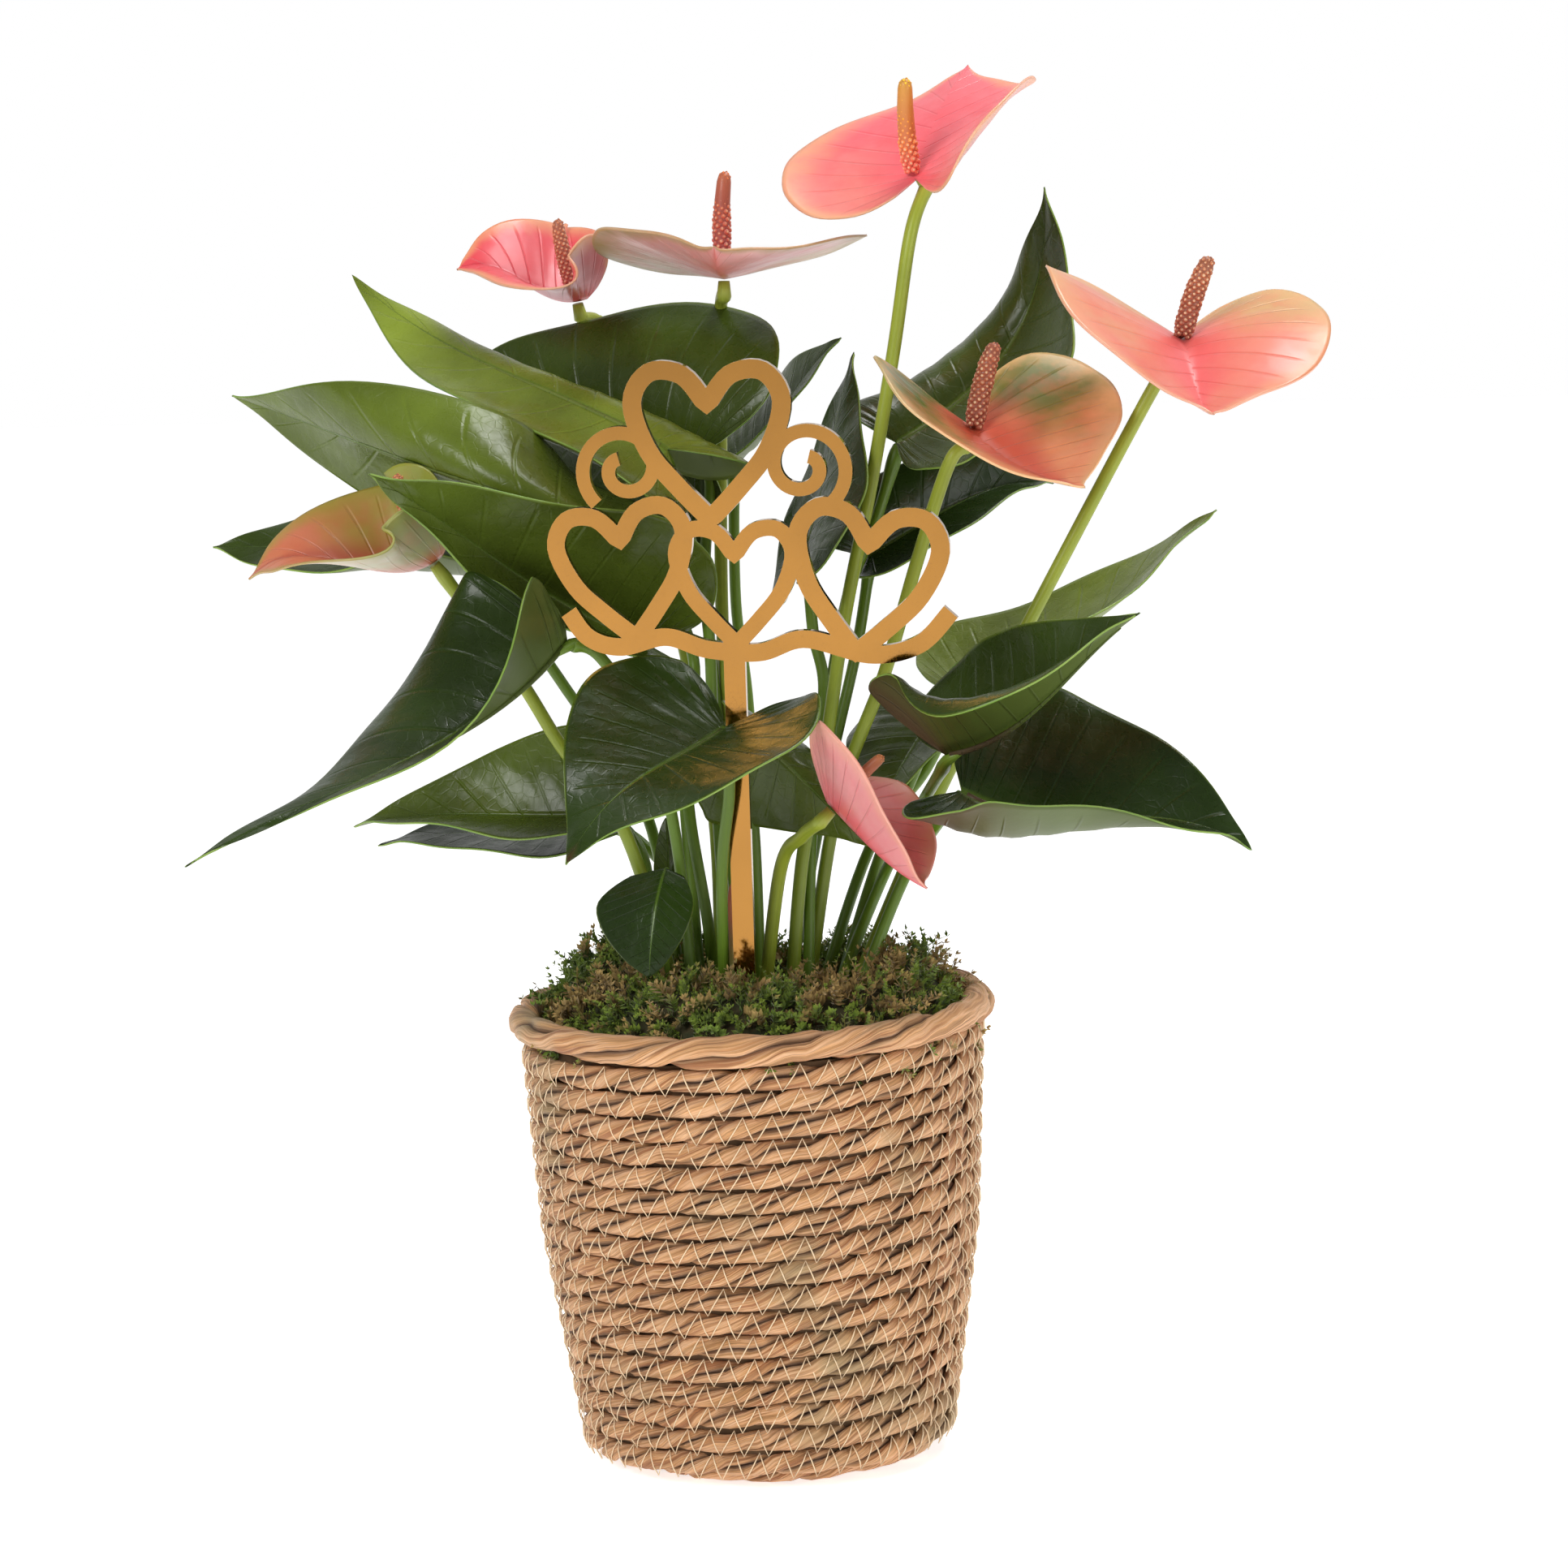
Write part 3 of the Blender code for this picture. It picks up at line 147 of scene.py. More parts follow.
# Each bloom: as a leaf, and the spadix's top and girth. The face's colour changes to shoulder up to far, to
# heart at the middle and to margin at the edge, by the share green. Beads are flat past the share smooth.
pink, coral, hot = (0.82, 0.21, 0.18), (0.86, 0.33, 0.14), (0.84, 0.12, 0.15)
lime, cream, tan = (0.28, 0.28, 0.03), (0.78, 0.52, 0.22), (0.60, 0.34, 0.11)
olive, rust = (0.12, 0.145, 0.010), (0.62, 0.08, 0.05)
blooms = {
    "1": dict(base=(54, 15, 400), tip=(72, 65, 435), left=(82, -10, 425), right=(13, 30, 404),
              bow=(4, 3), cup=(4, 2), turn=(-35, -20), lobe=1.2,
              root=(9, -5), via=((14, -4, 188), (22, 3, 223), (29, 5, 264), (38, 8, 305), (46, 11, 347),
                                 (52, 13, 383)),
              spadix=(51, 8, 431), girth=3.0, face=hot, shoulder=pink,
              heart=hot, margin=cream, green=0.55, smooth=0.5,
              knob=((0.85, 0.16, 0.10), (0.90, 0.36, 0.03), (0.88, 0.55, 0.02))),
    "2": dict(base=(-7, 54, 370), tip=(-9, -17, 379), left=(-49, 50, 383), right=(39, 47, 383),
              bow=(-1, -7), cup=(0, 0), turn=(20, 0), lobe=1.0,
              root=(-6, 18), via=((-8, 32, 210), (-10, 38, 267), (-9, 80, 343), (-9, 79, 356),
                                  (-8, 68, 364)),
              spadix=(-6, 52, 404), girth=3.0, face=pink, shoulder=tan,
              heart=pink, margin=lime, green=0.6, smooth=0.75,
              knob=((0.42, 0.12, 0.12), (0.62, 0.16, 0.09), (0.85, 0.22, 0.05))),
    "3": dict(base=(-53, 94, 364), tip=(-93, 88, 375), left=(-60, 124, 388), right=(-58, 53, 376),
              bow=(-10, 9), cup=(-1, 0), turn=(10, -45), lobe=1.2,
              root=(-13, 15), via=((-14, 36, 199), (-26, 57, 266), (-48, 98, 347), (-50, 101, 356)),
              spadix=(-62, 91, 390), girth=2.6, face=(0.74, 0.07, 0.09), shoulder=(0.70, 0.06, 0.08),
              heart=(0.62, 0.04, 0.06), margin=cream, green=0.55, smooth=1.0,
              knob=((0.42, 0.12, 0.10), (0.5, 0.15, 0.08), (0.6, 0.2, 0.08))),
    "4": dict(base=(135, 0, 349), tip=(139, -56, 328), left=(93, -15, 371), right=(180, -4, 356),
              bow=(4, -8), cup=(0, -3), turn=(0, -10), lobe=1.3,
              root=(25, 1), via=((57, 3, 207), (86, -2, 261), (127, 0, 335)),
              spadix=(144, -2, 374), girth=3.2, face=(0.74, 0.18, 0.12), shoulder=tan,
              heart=(0.78, 0.11, 0.12), margin=cream, green=0.35, smooth=1.0,
              knob=((0.33, 0.09, 0.05), (0.40, 0.11, 0.05), (0.50, 0.16, 0.06))),
    "5": dict(base=(68, -6, 324), tip=(99, -54, 307), left=(42, -39, 340), right=(112, 5, 337),
              bow=(-5, -5), cup=(2, -1), turn=(-10, 0), lobe=1.2,
              root=(14, 12), via=((25, 10, 202), (41, 2, 246), (52, -1, 282), (62, -8, 312)),
              spadix=(77, -8, 349), girth=3.2, face=coral, shoulder=olive,
              heart=rust, margin=cream, green=0.65, far=0.72, smooth=1.0,
              knob=((0.33, 0.09, 0.05), (0.40, 0.11, 0.05), (0.46, 0.13, 0.06))),
    "6": dict(base=(-97, 4, 286), tip=(-155, 3, 282), left=(-114, 17, 312), right=(-112, -24, 296),
              bow=(-15, 15), cup=(0, 2), turn=(-40, -40), lobe=1.0,
              root=(-24, 2), via=((-41, -2, 197), (-61, 4, 225), (-74, 4, 247)),
              spadix=(-110, -1, 312), girth=2.6, face=(0.56, 0.16, 0.07), shoulder=(0.26, 0.30, 0.03),
              heart=(0.42, 0.08, 0.04), margin=lime, green=0.65, far=0.8, smooth=1.0,
              knob=((0.42, 0.12, 0.07), (0.5, 0.14, 0.06), (0.6, 0.2, 0.06))),
    "7": dict(base=(22, -46, 212), tip=(49, -74, 190), left=(23, -72, 237), right=(49, -25, 211),
              bow=(-1, -3), cup=(0, 0), turn=(0, -10), lobe=0.7,
              root=(0, -9), via=((7, -18, 187), (14, -34, 200)),
              spadix=(39, -48, 226), girth=2.2, face=(0.74, 0.11, 0.12), shoulder=pink,
              heart=(0.70, 0.08, 0.10), margin=cream, green=0.3, smooth=0.6,
              knob=((0.6, 0.16, 0.10), (0.7, 0.2, 0.08), (0.8, 0.3, 0.08))),
}
foldLimit = math.radians(72)
# A stalk rises straight from the floor of its hole in the soil to its collar, then bends.
soilHole, collarHeight = 109.3, 135
leafWidest, spatheWidest, budWidest = 0.06, 0.08, 0.30
veinRate = 1.35


class Graph:
    def __init__(self, tree):
        self.tree = tree

    def put(self, socket, value):
        if isinstance(value, bpy.types.Node):
            value = value.outputs[0]
        if isinstance(value, bpy.types.NodeSocket):
            self.tree.links.new(value, socket)
        else:
            socket.default_value = value

    def add(self, kind, *values, props=None, **named):
        node = self.tree.nodes.new(kind)
        for key, value in (props or {}).items():
            setattr(node, key, value)
        for index, value in enumerate(values):
            if value is not None:
                self.put(node.inputs[index], value)
        for key, value in named.items():
            self.put(node.inputs[key.replace("_", " ")], value)
        return node

    def geo(self, kind, *values, **named):
        return self.add("GeometryNode" + kind, *values, **named)

    def math(self, operation, *values):
        return self.add("ShaderNodeMath", *values, props=dict(operation=operation)).outputs[0]

    def times(self, first, second):
        return self.math("MULTIPLY", first, second)

    def plus(self, first, second):
        return self.math("ADD", first, second)

    def minus(self, first, second):
        return self.math("SUBTRACT", first, second)

    def vector(self, operation, *values):
        node = self.add("ShaderNodeVectorMath", *values, props=dict(operation=operation))
        return node.outputs["Value" if operation in ("LENGTH", "DOT_PRODUCT", "DISTANCE") else "Vector"]

    def scaled(self, vector, factor):
        node = self.add("ShaderNodeVectorMath", vector, props=dict(operation="SCALE"))
        self.put(node.inputs["Scale"], factor)
        return node.outputs["Vector"]

    def place(self):
        return self.add("ShaderNodeTexCoord").outputs["Object"]

    def uv(self):
        return self.parts(self.add("ShaderNodeUVMap", props=dict(uv_map="UVMap")).outputs[0])

    def attribute(self, name, output="Fac"):
        return self.add("ShaderNodeAttribute", props=dict(attribute_name=name)).outputs[output]

    def named(self, name, kind="FLOAT"):
        return self.geo("InputNamedAttribute", name, props=dict(data_type=kind)).outputs[0]

    def store(self, geometry, name, value, kind="FLOAT", domain="POINT"):
        return self.geo("StoreNamedAttribute", geometry, None, name, value,
                        props=dict(data_type=kind, domain=domain))

    def xyz(self, x=0.0, y=0.0, z=0.0):
        return self.add("ShaderNodeCombineXYZ", x, y, z).outputs[0]

    def parts(self, vector):
        return self.add("ShaderNodeSeparateXYZ", vector).outputs

    def span(self, value, low, high, toLow=0.0, toHigh=1.0, kind="LINEAR"):
        node = self.add("ShaderNodeMapRange", value, low, high, toLow, toHigh,
                        props=dict(interpolation_type=kind))
        return node.outputs[0]

    def ease(self, *values):
        return self.span(*values, kind="SMOOTHSTEP")

    def mix(self, factor, first, second):
        node = self.tree.nodes.new("ShaderNodeMix")
        node.data_type = "RGBA"
        self.put(node.inputs[0], factor)
        for index, value in ((6, first), (7, second)):
            self.put(node.inputs[index], (*value, 1) if isinstance(value, tuple) else value)
        return node.outputs[2]

    def shade(self, socket, value):
        self.put(self.shader.inputs[socket], value)

    def bump(self, height, distance, strength):
        self.shade("Normal", self.add("ShaderNodeBump", strength, distance * mm, None, height))

    def sway(self, value, noise, amount):
        return self.plus(value, self.times(self.minus(noise, 0.5), amount))

    def around(self, angle, reach, height):
        return self.xyz(self.times(reach, self.math("COSINE", angle)),
                        self.times(reach, self.math("SINE", angle)), height)

    def random(self, low=0.0, high=1.0, seed=0):
        node = self.add("FunctionNodeRandomValue", props=dict(data_type="FLOAT"))
        for index, value in ((2, low), (3, high), (8, seed)):
            self.put(node.inputs[index], value)
        return node.outputs[1]

    def noise(self, vector, scale, detail=2.0, rough=0.5):
        return self.add("ShaderNodeTexNoise", vector, None, scale, detail, rough).outputs[0]

    def ramp(self, value, *stops):
        node = self.add("ShaderNodeValToRGB", value)
        band = node.color_ramp
        while len(band.elements) < len(stops):
            band.elements.new(0.5)
        for element, (place, colour) in zip(band.elements, stops):
            element.position = place
            element.color = (*colour, 1)
        return node.outputs[0]


def newMaterial(name, rough=0.5, metal=0.0, **constants):
    material = bpy.data.materials.new(name)
    material.use_nodes = True
    g = Graph(material.node_tree)
    g.shader = material.node_tree.nodes["Principled BSDF"]
    for key, value in dict(Roughness=rough, Metallic=metal, **constants).items():
        g.shade(key.replace("_", " "), value)
    return material, g


def newObject(name, data):
    obj = bpy.data.objects.new(name, data)
    bpy.context.scene.collection.objects.link(obj)
    return obj


def finishPiece(obj, nodes):
    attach(obj, "root")
    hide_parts(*nodes)


def meshObject(name, points, faces, materials, uv=None, attributes=None):
    mesh = bpy.data.meshes.new(name)
    mesh.from_pydata(np.asarray(points).tolist(), [], faces if isinstance(faces, list) else faces.tolist())
    for material in materials:
        mesh.materials.append(material)
    if uv is not None:
        layer = mesh.uv_layers.new(name="UVMap")
        corner = np.empty(len(mesh.loops), dtype=np.int32)
        mesh.loops.foreach_get("vertex_index", corner)
        layer.data.foreach_set("uv", np.asarray(uv)[corner].astype(np.float32).ravel())
    for key, values in (attributes or {}).items():
        layer = mesh.attributes.new(key, "FLOAT", "POINT")
        layer.data.foreach_set("value", np.asarray(values, dtype=np.float32))
    mesh.polygons.foreach_set("use_smooth", np.ones(len(mesh.polygons), dtype=bool))
    return newObject(name, mesh)


def applyModifiers(obj):
    bpy.context.view_layer.update()
    graph = bpy.context.evaluated_depsgraph_get()
    mesh = bpy.data.meshes.new_from_object(obj.evaluated_get(graph))
    old = obj.data
    obj.modifiers.clear()
    obj.data = mesh
    bpy.data.meshes.remove(old)


def unit(vector):
    return vector / np.linalg.norm(vector, axis=-1, keepdims=True)


def smoothAt(values, place):
    values = np.asarray(values, dtype=float)
    place = np.asarray(place, dtype=float)
    last = len(values) - 1
    i = np.clip(place.astype(int), 0, last - 1)
    f = (place - i).reshape(place.shape + (1,) * (values.ndim - 1))
    a, b, c, d = values[np.maximum(i - 1, 0)], values[i], values[i + 1], values[np.minimum(i + 2, last)]
    square, cube = 2 * a - 5 * b + 4 * c - d, 3 * b - a - 3 * c + d
    return 0.5 * (2 * b + (c - a) * f + square * f ** 2 + cube * f ** 3)


class Blade:
    def __init__(self, spec, edge, widest):
        corners = ("base", "tip", "left", "right")
        base, tip, left, right = (np.array(spec[key], dtype=float) for key in corners)
        self.edge, self.widest, self.lobe = edge, widest, spec["lobe"]
        self.cup, self.turn = spec["cup"], np.radians(spec["turn"])
        self.taper = spec.get("taper", (0, 0))
        chord = tip - base
        self.length = np.linalg.norm(chord)
        axis = chord / self.length
        middle = base + chord * widest
        for _ in range(3):
            toLeft, toRight = (v - axis * (v @ axis) for v in (left - middle, right - middle))
            self.side = unit(unit(toRight) - unit(toLeft))
            up = np.cross(axis, self.side)
            self.rib = np.array([base, base + chord / 3 + up * spec["bow"][0],
                                 base + chord * 2 / 3 + up * spec["bow"][1], tip])
            middle, tangent = (v[0] for v in self.midrib(np.array([widest])))
        up = np.cross(tangent, self.side)
        halves = [v - tangent * (v @ tangent) for v in (left - middle, right - middle)]
        self.width = [np.linalg.norm(v) for v in halves]
        self.fold = [math.atan2(halves[0] @ up, -(halves[0] @ self.side)),
                     math.atan2(halves[1] @ up, halves[1] @ self.side)]

    def midrib(self, along):
        t = np.clip(along, 0, 1)[:, None]
        s = 1 - t
        p = self.rib
        place = p[0] * s ** 3 + p[1] * 3 * s ** 2 * t + p[2] * 3 * s * t ** 2 + p[3] * t ** 3
        tangent = unit((p[1] - p[0]) * s ** 2 + (p[2] - p[1]) * 2 * s * t + (p[3] - p[2]) * t ** 2)
        return place + tangent * (along[:, None] - t) * self.length, tangent

    def up(self, along):
        return unit(np.cross(self.midrib(np.array([along]))[1][0], self.side))

    def points(self, station, across):
        row = smoothAt(self.edge, station)
        along, width, vein = row[:, 0], row[:, 1], row[:, 2]
        along = np.where(along < 0, along * self.lobe, along)
        reach = np.abs(across)
        half = (across >= 0).astype(int)
        sign = np.where(half == 1, 1.0, -1.0)
        share = np.clip((along - self.widest) / 0.7, 0, 1)
        width = width * (1 - np.array(self.taper)[half] * share ** 2 * (3 - 2 * share))
        along = vein + (along - vein) * reach
        width = width * reach
        place, tangent = self.midrib(along)
        up = np.cross(tangent, self.side)
        angle = np.array(self.fold)[half] + np.array(self.turn)[half] * (along - self.widest)
        angle = np.clip(angle, -foldLimit, foldLimit)[:, None]
        outward = self.side * np.cos(angle) * sign[:, None] + up * np.sin(angle)
        normal = up * np.cos(angle) - self.side * sign[:, None] * np.sin(angle)
        spread = (width * np.array(self.width)[half])[:, None]
        cup = (np.array(self.cup)[half] * 4 * width * (width - 1))[:, None]
        return place + outward * spread + up * cup, normal


def bladeMesh(name, blade, look, materials, phase):
    stations = len(blade.edge) - 2
    rows, columns = look["rows"] * stations + 1, 2 * look["columns"] + 1
    station, across = np.meshgrid(np.linspace(1, stations + 1, rows), np.linspace(-1, 1, columns),
                                  indexing="ij")
    # Columns stand closer together near the margin.
    across = np.sign(across) * (1 - (1 - np.abs(across)) ** 1.25)
    station, across = station.ravel(), across.ravel()
    points, normal = blade.points(station, across)
    reach = np.abs(across)
    side = np.where(across < 0, 0.0, 0.5)
    size = blade.width[0] / 40
    rise = np.sin(math.pi * np.clip(reach, 0, 1))
    swell = np.cos(2 * math.pi * (station * veinRate + side)) * rise * look["quilt"]
    wave = np.sin(station * 2.3 + phase + across * 2) * reach ** 3 * look["wave"] * size
    fade = np.clip((stations + 1 - station) / 2, 0, 1) * np.clip((station - 1) / 2, 0, 1)
    narrow = np.clip(smoothAt(blade.edge[:, 1], station) * 1.5, 0, 1) ** 1.5
    points = points + normal * ((swell * narrow + wave) * fade)[:, None]
    faces = []
    for i in range(rows - 1):
        for j in range(columns - 1):
            a = i * columns + j
            faces.append((a, a + columns, a + columns + 1, a + 1))
    uv = np.stack([station / (stations + 1), 0.5 + across / 2], axis=1)
    obj = meshObject(name, points * mm, faces, materials, uv=uv)
    weld = obj.modifiers.new("weld", "WELD")
    weld.merge_threshold = 0.03 * mm
    solid = obj.modifiers.new("thickness", "SOLIDIFY")
    solid.thickness = look["thickness"] * mm
    solid.offset = 0
    solid.material_offset = 1
    solid.material_offset_rim = 2
    applyModifiers(obj)
    return obj


def tubeArrays(path, radii, sides):
    path = np.asarray(path, dtype=float)
    tangent = unit(np.gradient(path, axis=0))
    frameX = np.zeros_like(path)
    start = np.cross(tangent[0], (0.0, 1.0, 0.0))
    if np.linalg.norm(start) < 0.1:
        start = np.cross(tangent[0], (1.0, 0.0, 0.0))
    frameX[0] = unit(start)
    for i in range(1, len(path)):
        v = frameX[i - 1] - tangent[i] * (frameX[i - 1] @ tangent[i])
        frameX[i] = unit(v)
    frameY = np.cross(tangent, frameX)
    angle = np.linspace(0, 2 * math.pi, sides, endpoint=False)
    ring = (np.cos(angle)[None, :, None] * frameX[:, None, :]
            + np.sin(angle)[None, :, None] * frameY[:, None, :])
    points = path[:, None, :] + ring * np.asarray(radii, dtype=float)[:, None, None]
    count = len(path)
    faces = []
    for i in range(count - 1):
        for j in range(sides):
            k = (j + 1) % sides
            faces.append((i * sides + j, i * sides + k, (i + 1) * sides + k, (i + 1) * sides + j))
    faces.append(tuple(range(sides - 1, -1, -1)))
    faces.append(tuple((count - 1) * sides + j for j in range(sides)))
    length = np.concatenate([[0], np.cumsum(np.linalg.norm(np.diff(path, axis=0), axis=1))])
    share = np.repeat(length / length[-1], sides)
    around = np.tile(np.arange(sides) / sides, count)
    return points.reshape(-1, 3), faces, np.stack([share, around], axis=1)


def stalkPath(spec, ends, steps):
    x, y = spec["root"]
    route = [(x, y, collarHeight)] + list(spec["via"]) + ends
    smooth = smoothAt(route, np.linspace(0, len(route) - 1, steps * (len(route) - 1) + 1))
    return np.vstack([[(x, y, soilHole)], smooth])


def addTube(obj, path, radii, sides, slot):
    # Joins a tube to the object's mesh as one more body of the same piece.
    points, faces, uv = tubeArrays(path, radii, sides)
    extra = meshObject("extra", points * mm, faces, [], uv=uv)
    slots = np.full(len(extra.data.polygons), slot, dtype=np.int32)
    extra.data.polygons.foreach_set("material_index", slots)
    for material in obj.data.materials:
        extra.data.materials.append(material)
    with bpy.context.temp_override(active_object=obj, selected_editable_objects=[obj, extra]):
        bpy.ops.object.join()


def veins(g, u, v, width):
    # Lines that run from the midrib to the margin, set off by half a step on the other half.
    stations = 12
    reach = g.math("ABSOLUTE", g.minus(g.times(v, 2.0), 1.0))
    side = g.times(g.math("GREATER_THAN", v, 0.5), 0.5)
    step = g.plus(g.times(u, stations * veinRate), side)
    away = g.math("ABSOLUTE", g.minus(g.math("FRACT", step), 0.5))
    inner = g.ease(reach, 0.78, 0.93, 1, 0)
    lines = g.times(g.ease(away, 0.5 - width, 0.5, 0, 1), inner)
    rib = g.ease(reach, 0.012, 0.045, 1, 0)
    return lines, rib, reach


def leafTopMaterial(name, spec):
    light = spec["light"]
    top, g = newMaterial(name + "Top", rough=0.3, Specular_IOR_Level=0.24, Coat_Weight=0.1,
                         Coat_Roughness=0.1)
    u, v, _ = g.uv()
    where = g.place()
    lines, rib, reach = veins(g, u, v, 0.07)
    net = g.add("ShaderNodeTexVoronoi", where, None, 260.0, props=dict(feature="DISTANCE_TO_EDGE"))
    netLine = g.ease(net.outputs[0], 0.0, 0.09, 1, 0)
    cloud = g.noise(where, 28.0, 3.0)
    fine = g.noise(where, 420.0, 2.0)
    # Painted light: the green lies between dark and bright by the leaf's light number, brighter on leaves
    # that catch the light or a sheen and darker on shaded ones, along with the leaf's own tone.
    dark, bright = (0.012, 0.025, 0.003), (0.130, 0.172, 0.018)
    base = tuple(a + (b - a) * light for a, b in zip(dark, bright))
    lighter = tuple(a * 1.75 for a in base)
    colour = g.mix(g.span(cloud, 0.35, 0.7), base, lighter)
    veinColour = tuple(min(1, a * 1.9 + c) for a, c in zip(base, (0.010, 0.018, 0.002)))
    colour = g.mix(g.times(lines, 0.16), colour, veinColour)
    colour = g.mix(g.times(netLine, 0.06), colour, veinColour)
    colour = g.mix(g.times(rib, 0.6), colour, (0.085, 0.15, 0.015))
    colour = g.mix(g.ease(reach, 0.972, 1.0, 0, 0.6), colour, (0.14, 0.20, 0.02))
    if "tipTone" in spec:
        tipMask = g.span(g.sway(u, cloud, 0.06), 0.90, 0.96, 0, 0.9)
        colour = g.mix(tipMask, colour, spec["tipTone"])
    g.shade("Base Color", colour)
    g.shade("Roughness", g.span(fine, 0.2, 0.8, 0.22, 0.38))
    sunk = g.times(g.math("MAXIMUM", lines, rib), -1.0)
    height = g.plus(g.times(sunk, 0.5), g.times(netLine, -0.07))
    ripple = g.noise(g.vector("MULTIPLY", where, (1.0, 1.0, 0.6)), 110.0, 2.0)
    height = g.plus(height, g.times(ripple, 1.5))
    height = g.plus(height, g.times(g.noise(where, 45.0, 2.0), 2.2))
    g.bump(height, 0.5, 0.9)
    return top


def leafUnderMaterial(name, spec):
    under, g = newMaterial(name + "Under", rough=0.48, Specular_IOR_Level=0.3)
    u, v, _ = g.uv()
    where = g.place()
    lines, rib, _ = veins(g, u, v, 0.06)
    # Painted light as on the top: the underside's green is brighter on leaves with a higher light number.
    dull, bright = (0.030, 0.048, 0.008), (0.13, 0.17, 0.03)
    pale = tuple(a + (b - a) * (0.25 + 0.75 * spec["light"]) for a, b in zip(dull, bright))
    colour = g.mix(g.span(g.noise(where, 35.0, 3.0), 0.3, 0.7), pale, tuple(a * 1.35 for a in pale))
    colour = g.mix(g.times(lines, 0.35), colour, tuple(a * 0.55 for a in pale))
    colour = g.mix(g.times(rib, 0.7), colour, (0.14, 0.22, 0.03))
    if "blush" in spec:
        tone, far = spec["blush"]
        colour = g.mix(g.ease(u, far * 0.5, far, 0.85, 0), colour, tone)
    g.shade("Base Color", colour)
    height = g.plus(lines, g.times(g.noise(where, 300.0, 2.0), 0.3))
    g.bump(height, 0.3, 0.7)
    return under


def stalkMaterial(name, low, high, knee):
    material, g = newMaterial(name, rough=0.38, Specular_IOR_Level=0.32, Coat_Weight=0.05,
                              Coat_Roughness=0.25)
    u, v, _ = g.uv()
    where = g.place()
    stripes = g.noise(g.xyz(g.times(u, 3.0), g.times(v, 26.0)), 1.0, 3.0)
    colour = g.mix(g.span(u, 0.05, 0.75), low, high)
    colour = g.mix(g.ease(u, 0.93, 0.99, 0, 0.8), colour, knee)
    colour = g.mix(g.span(stripes, 0.35, 0.75, 0, 0.35), colour, tuple(a * 0.5 for a in high))
    colour = g.mix(g.span(g.noise(where, 60.0, 3.0), 0.45, 0.8, 0, 0.35), colour,
                   tuple(a * 0.6 for a in low))
    g.shade("Base Color", colour)
    g.bump(stripes, 0.25, 0.5)
    return material


def spatheMaterials(name, spec):
    made = []
    for layer, face, shoulder in (("Face", spec["face"], spec["shoulder"]),
                                  ("Back", tuple(a * 0.75 + 0.18 for a in spec["face"]),
                                   tuple(a * 0.7 + 0.12 for a in spec["shoulder"]))):
        material, g = newMaterial(name + layer, rough=0.4, Coat_Weight=0.05, Coat_Roughness=0.2,
                                  Subsurface_Weight=0.08, Subsurface_Scale=0.002)
        u, v, _ = g.uv()
        where = g.place()
        lines, _, reach = veins(g, u, v, 0.08)
        cloud = g.noise(where, 24.0, 4.0, 0.6)
        mottled = g.noise(where, 90.0, 4.0, 0.6)
        far = spec.get("far", 0.62)
        lobeShare = g.ease(g.sway(u, cloud, 0.5), far - 0.35, far, 1, 0)
        colour = g.mix(lobeShare, face, shoulder)
        middle = g.sway(reach, cloud, 0.5)
        colour = g.mix(g.ease(middle, 0.08, 0.5, 0.85, 0), colour, spec["heart"])
        deeper = tuple(a * b for a, b in zip(face, (0.92, 0.45, 0.5)))
        colour = g.mix(g.span(mottled, 0.45, 0.8, 0, 0.5), colour, deeper)
        paler = tuple(min(1, a * 0.85 + 0.09) for a in face)
        colour = g.mix(g.span(cloud, 0.5, 0.75, 0, 0.35), colour, paler)
        edge = g.sway(reach, mottled, 0.35)
        colour = g.mix(g.times(g.ease(edge, 0.72, 1.05, 0, 1), spec["green"]), colour, spec["margin"])
        strong = g.times(lines, 0.12)
        colour = g.mix(strong, colour, g.mix(lobeShare, deeper, tuple(a * 0.7 for a in spec["shoulder"])))
        g.shade("Base Color", colour)
        g.shade("Roughness", g.span(mottled, 0.3, 0.7, 0.28, 0.45))
        height = g.times(lines, -0.5 if layer == "Face" else 0.6)
        height = g.plus(height, g.times(cloud, 1.6))
        height = g.plus(height, g.times(g.noise(where, 160.0, 3.0), 0.3))
        g.bump(height, 0.6, 0.6)
        made.append(material)
    return made + [made[1]]


def marginMaterial():
    material, g = newMaterial("leafMargin", rough=0.4)
    cloud = g.span(g.noise(g.place(), 60.0), 0.3, 0.7)
    g.shade("Base Color", g.mix(cloud, (0.13, 0.24, 0.03), (0.22, 0.33, 0.05)))
    return material


edgeMaterial = marginMaterial()
petioleMaterial = stalkMaterial("petiole", (0.14, 0.25, 0.02), (0.11, 0.19, 0.014), (0.17, 0.27, 0.03))
peduncleMaterial = stalkMaterial("peduncle", (0.17, 0.25, 0.02), (0.31, 0.37, 0.035), (0.42, 0.48, 0.07))


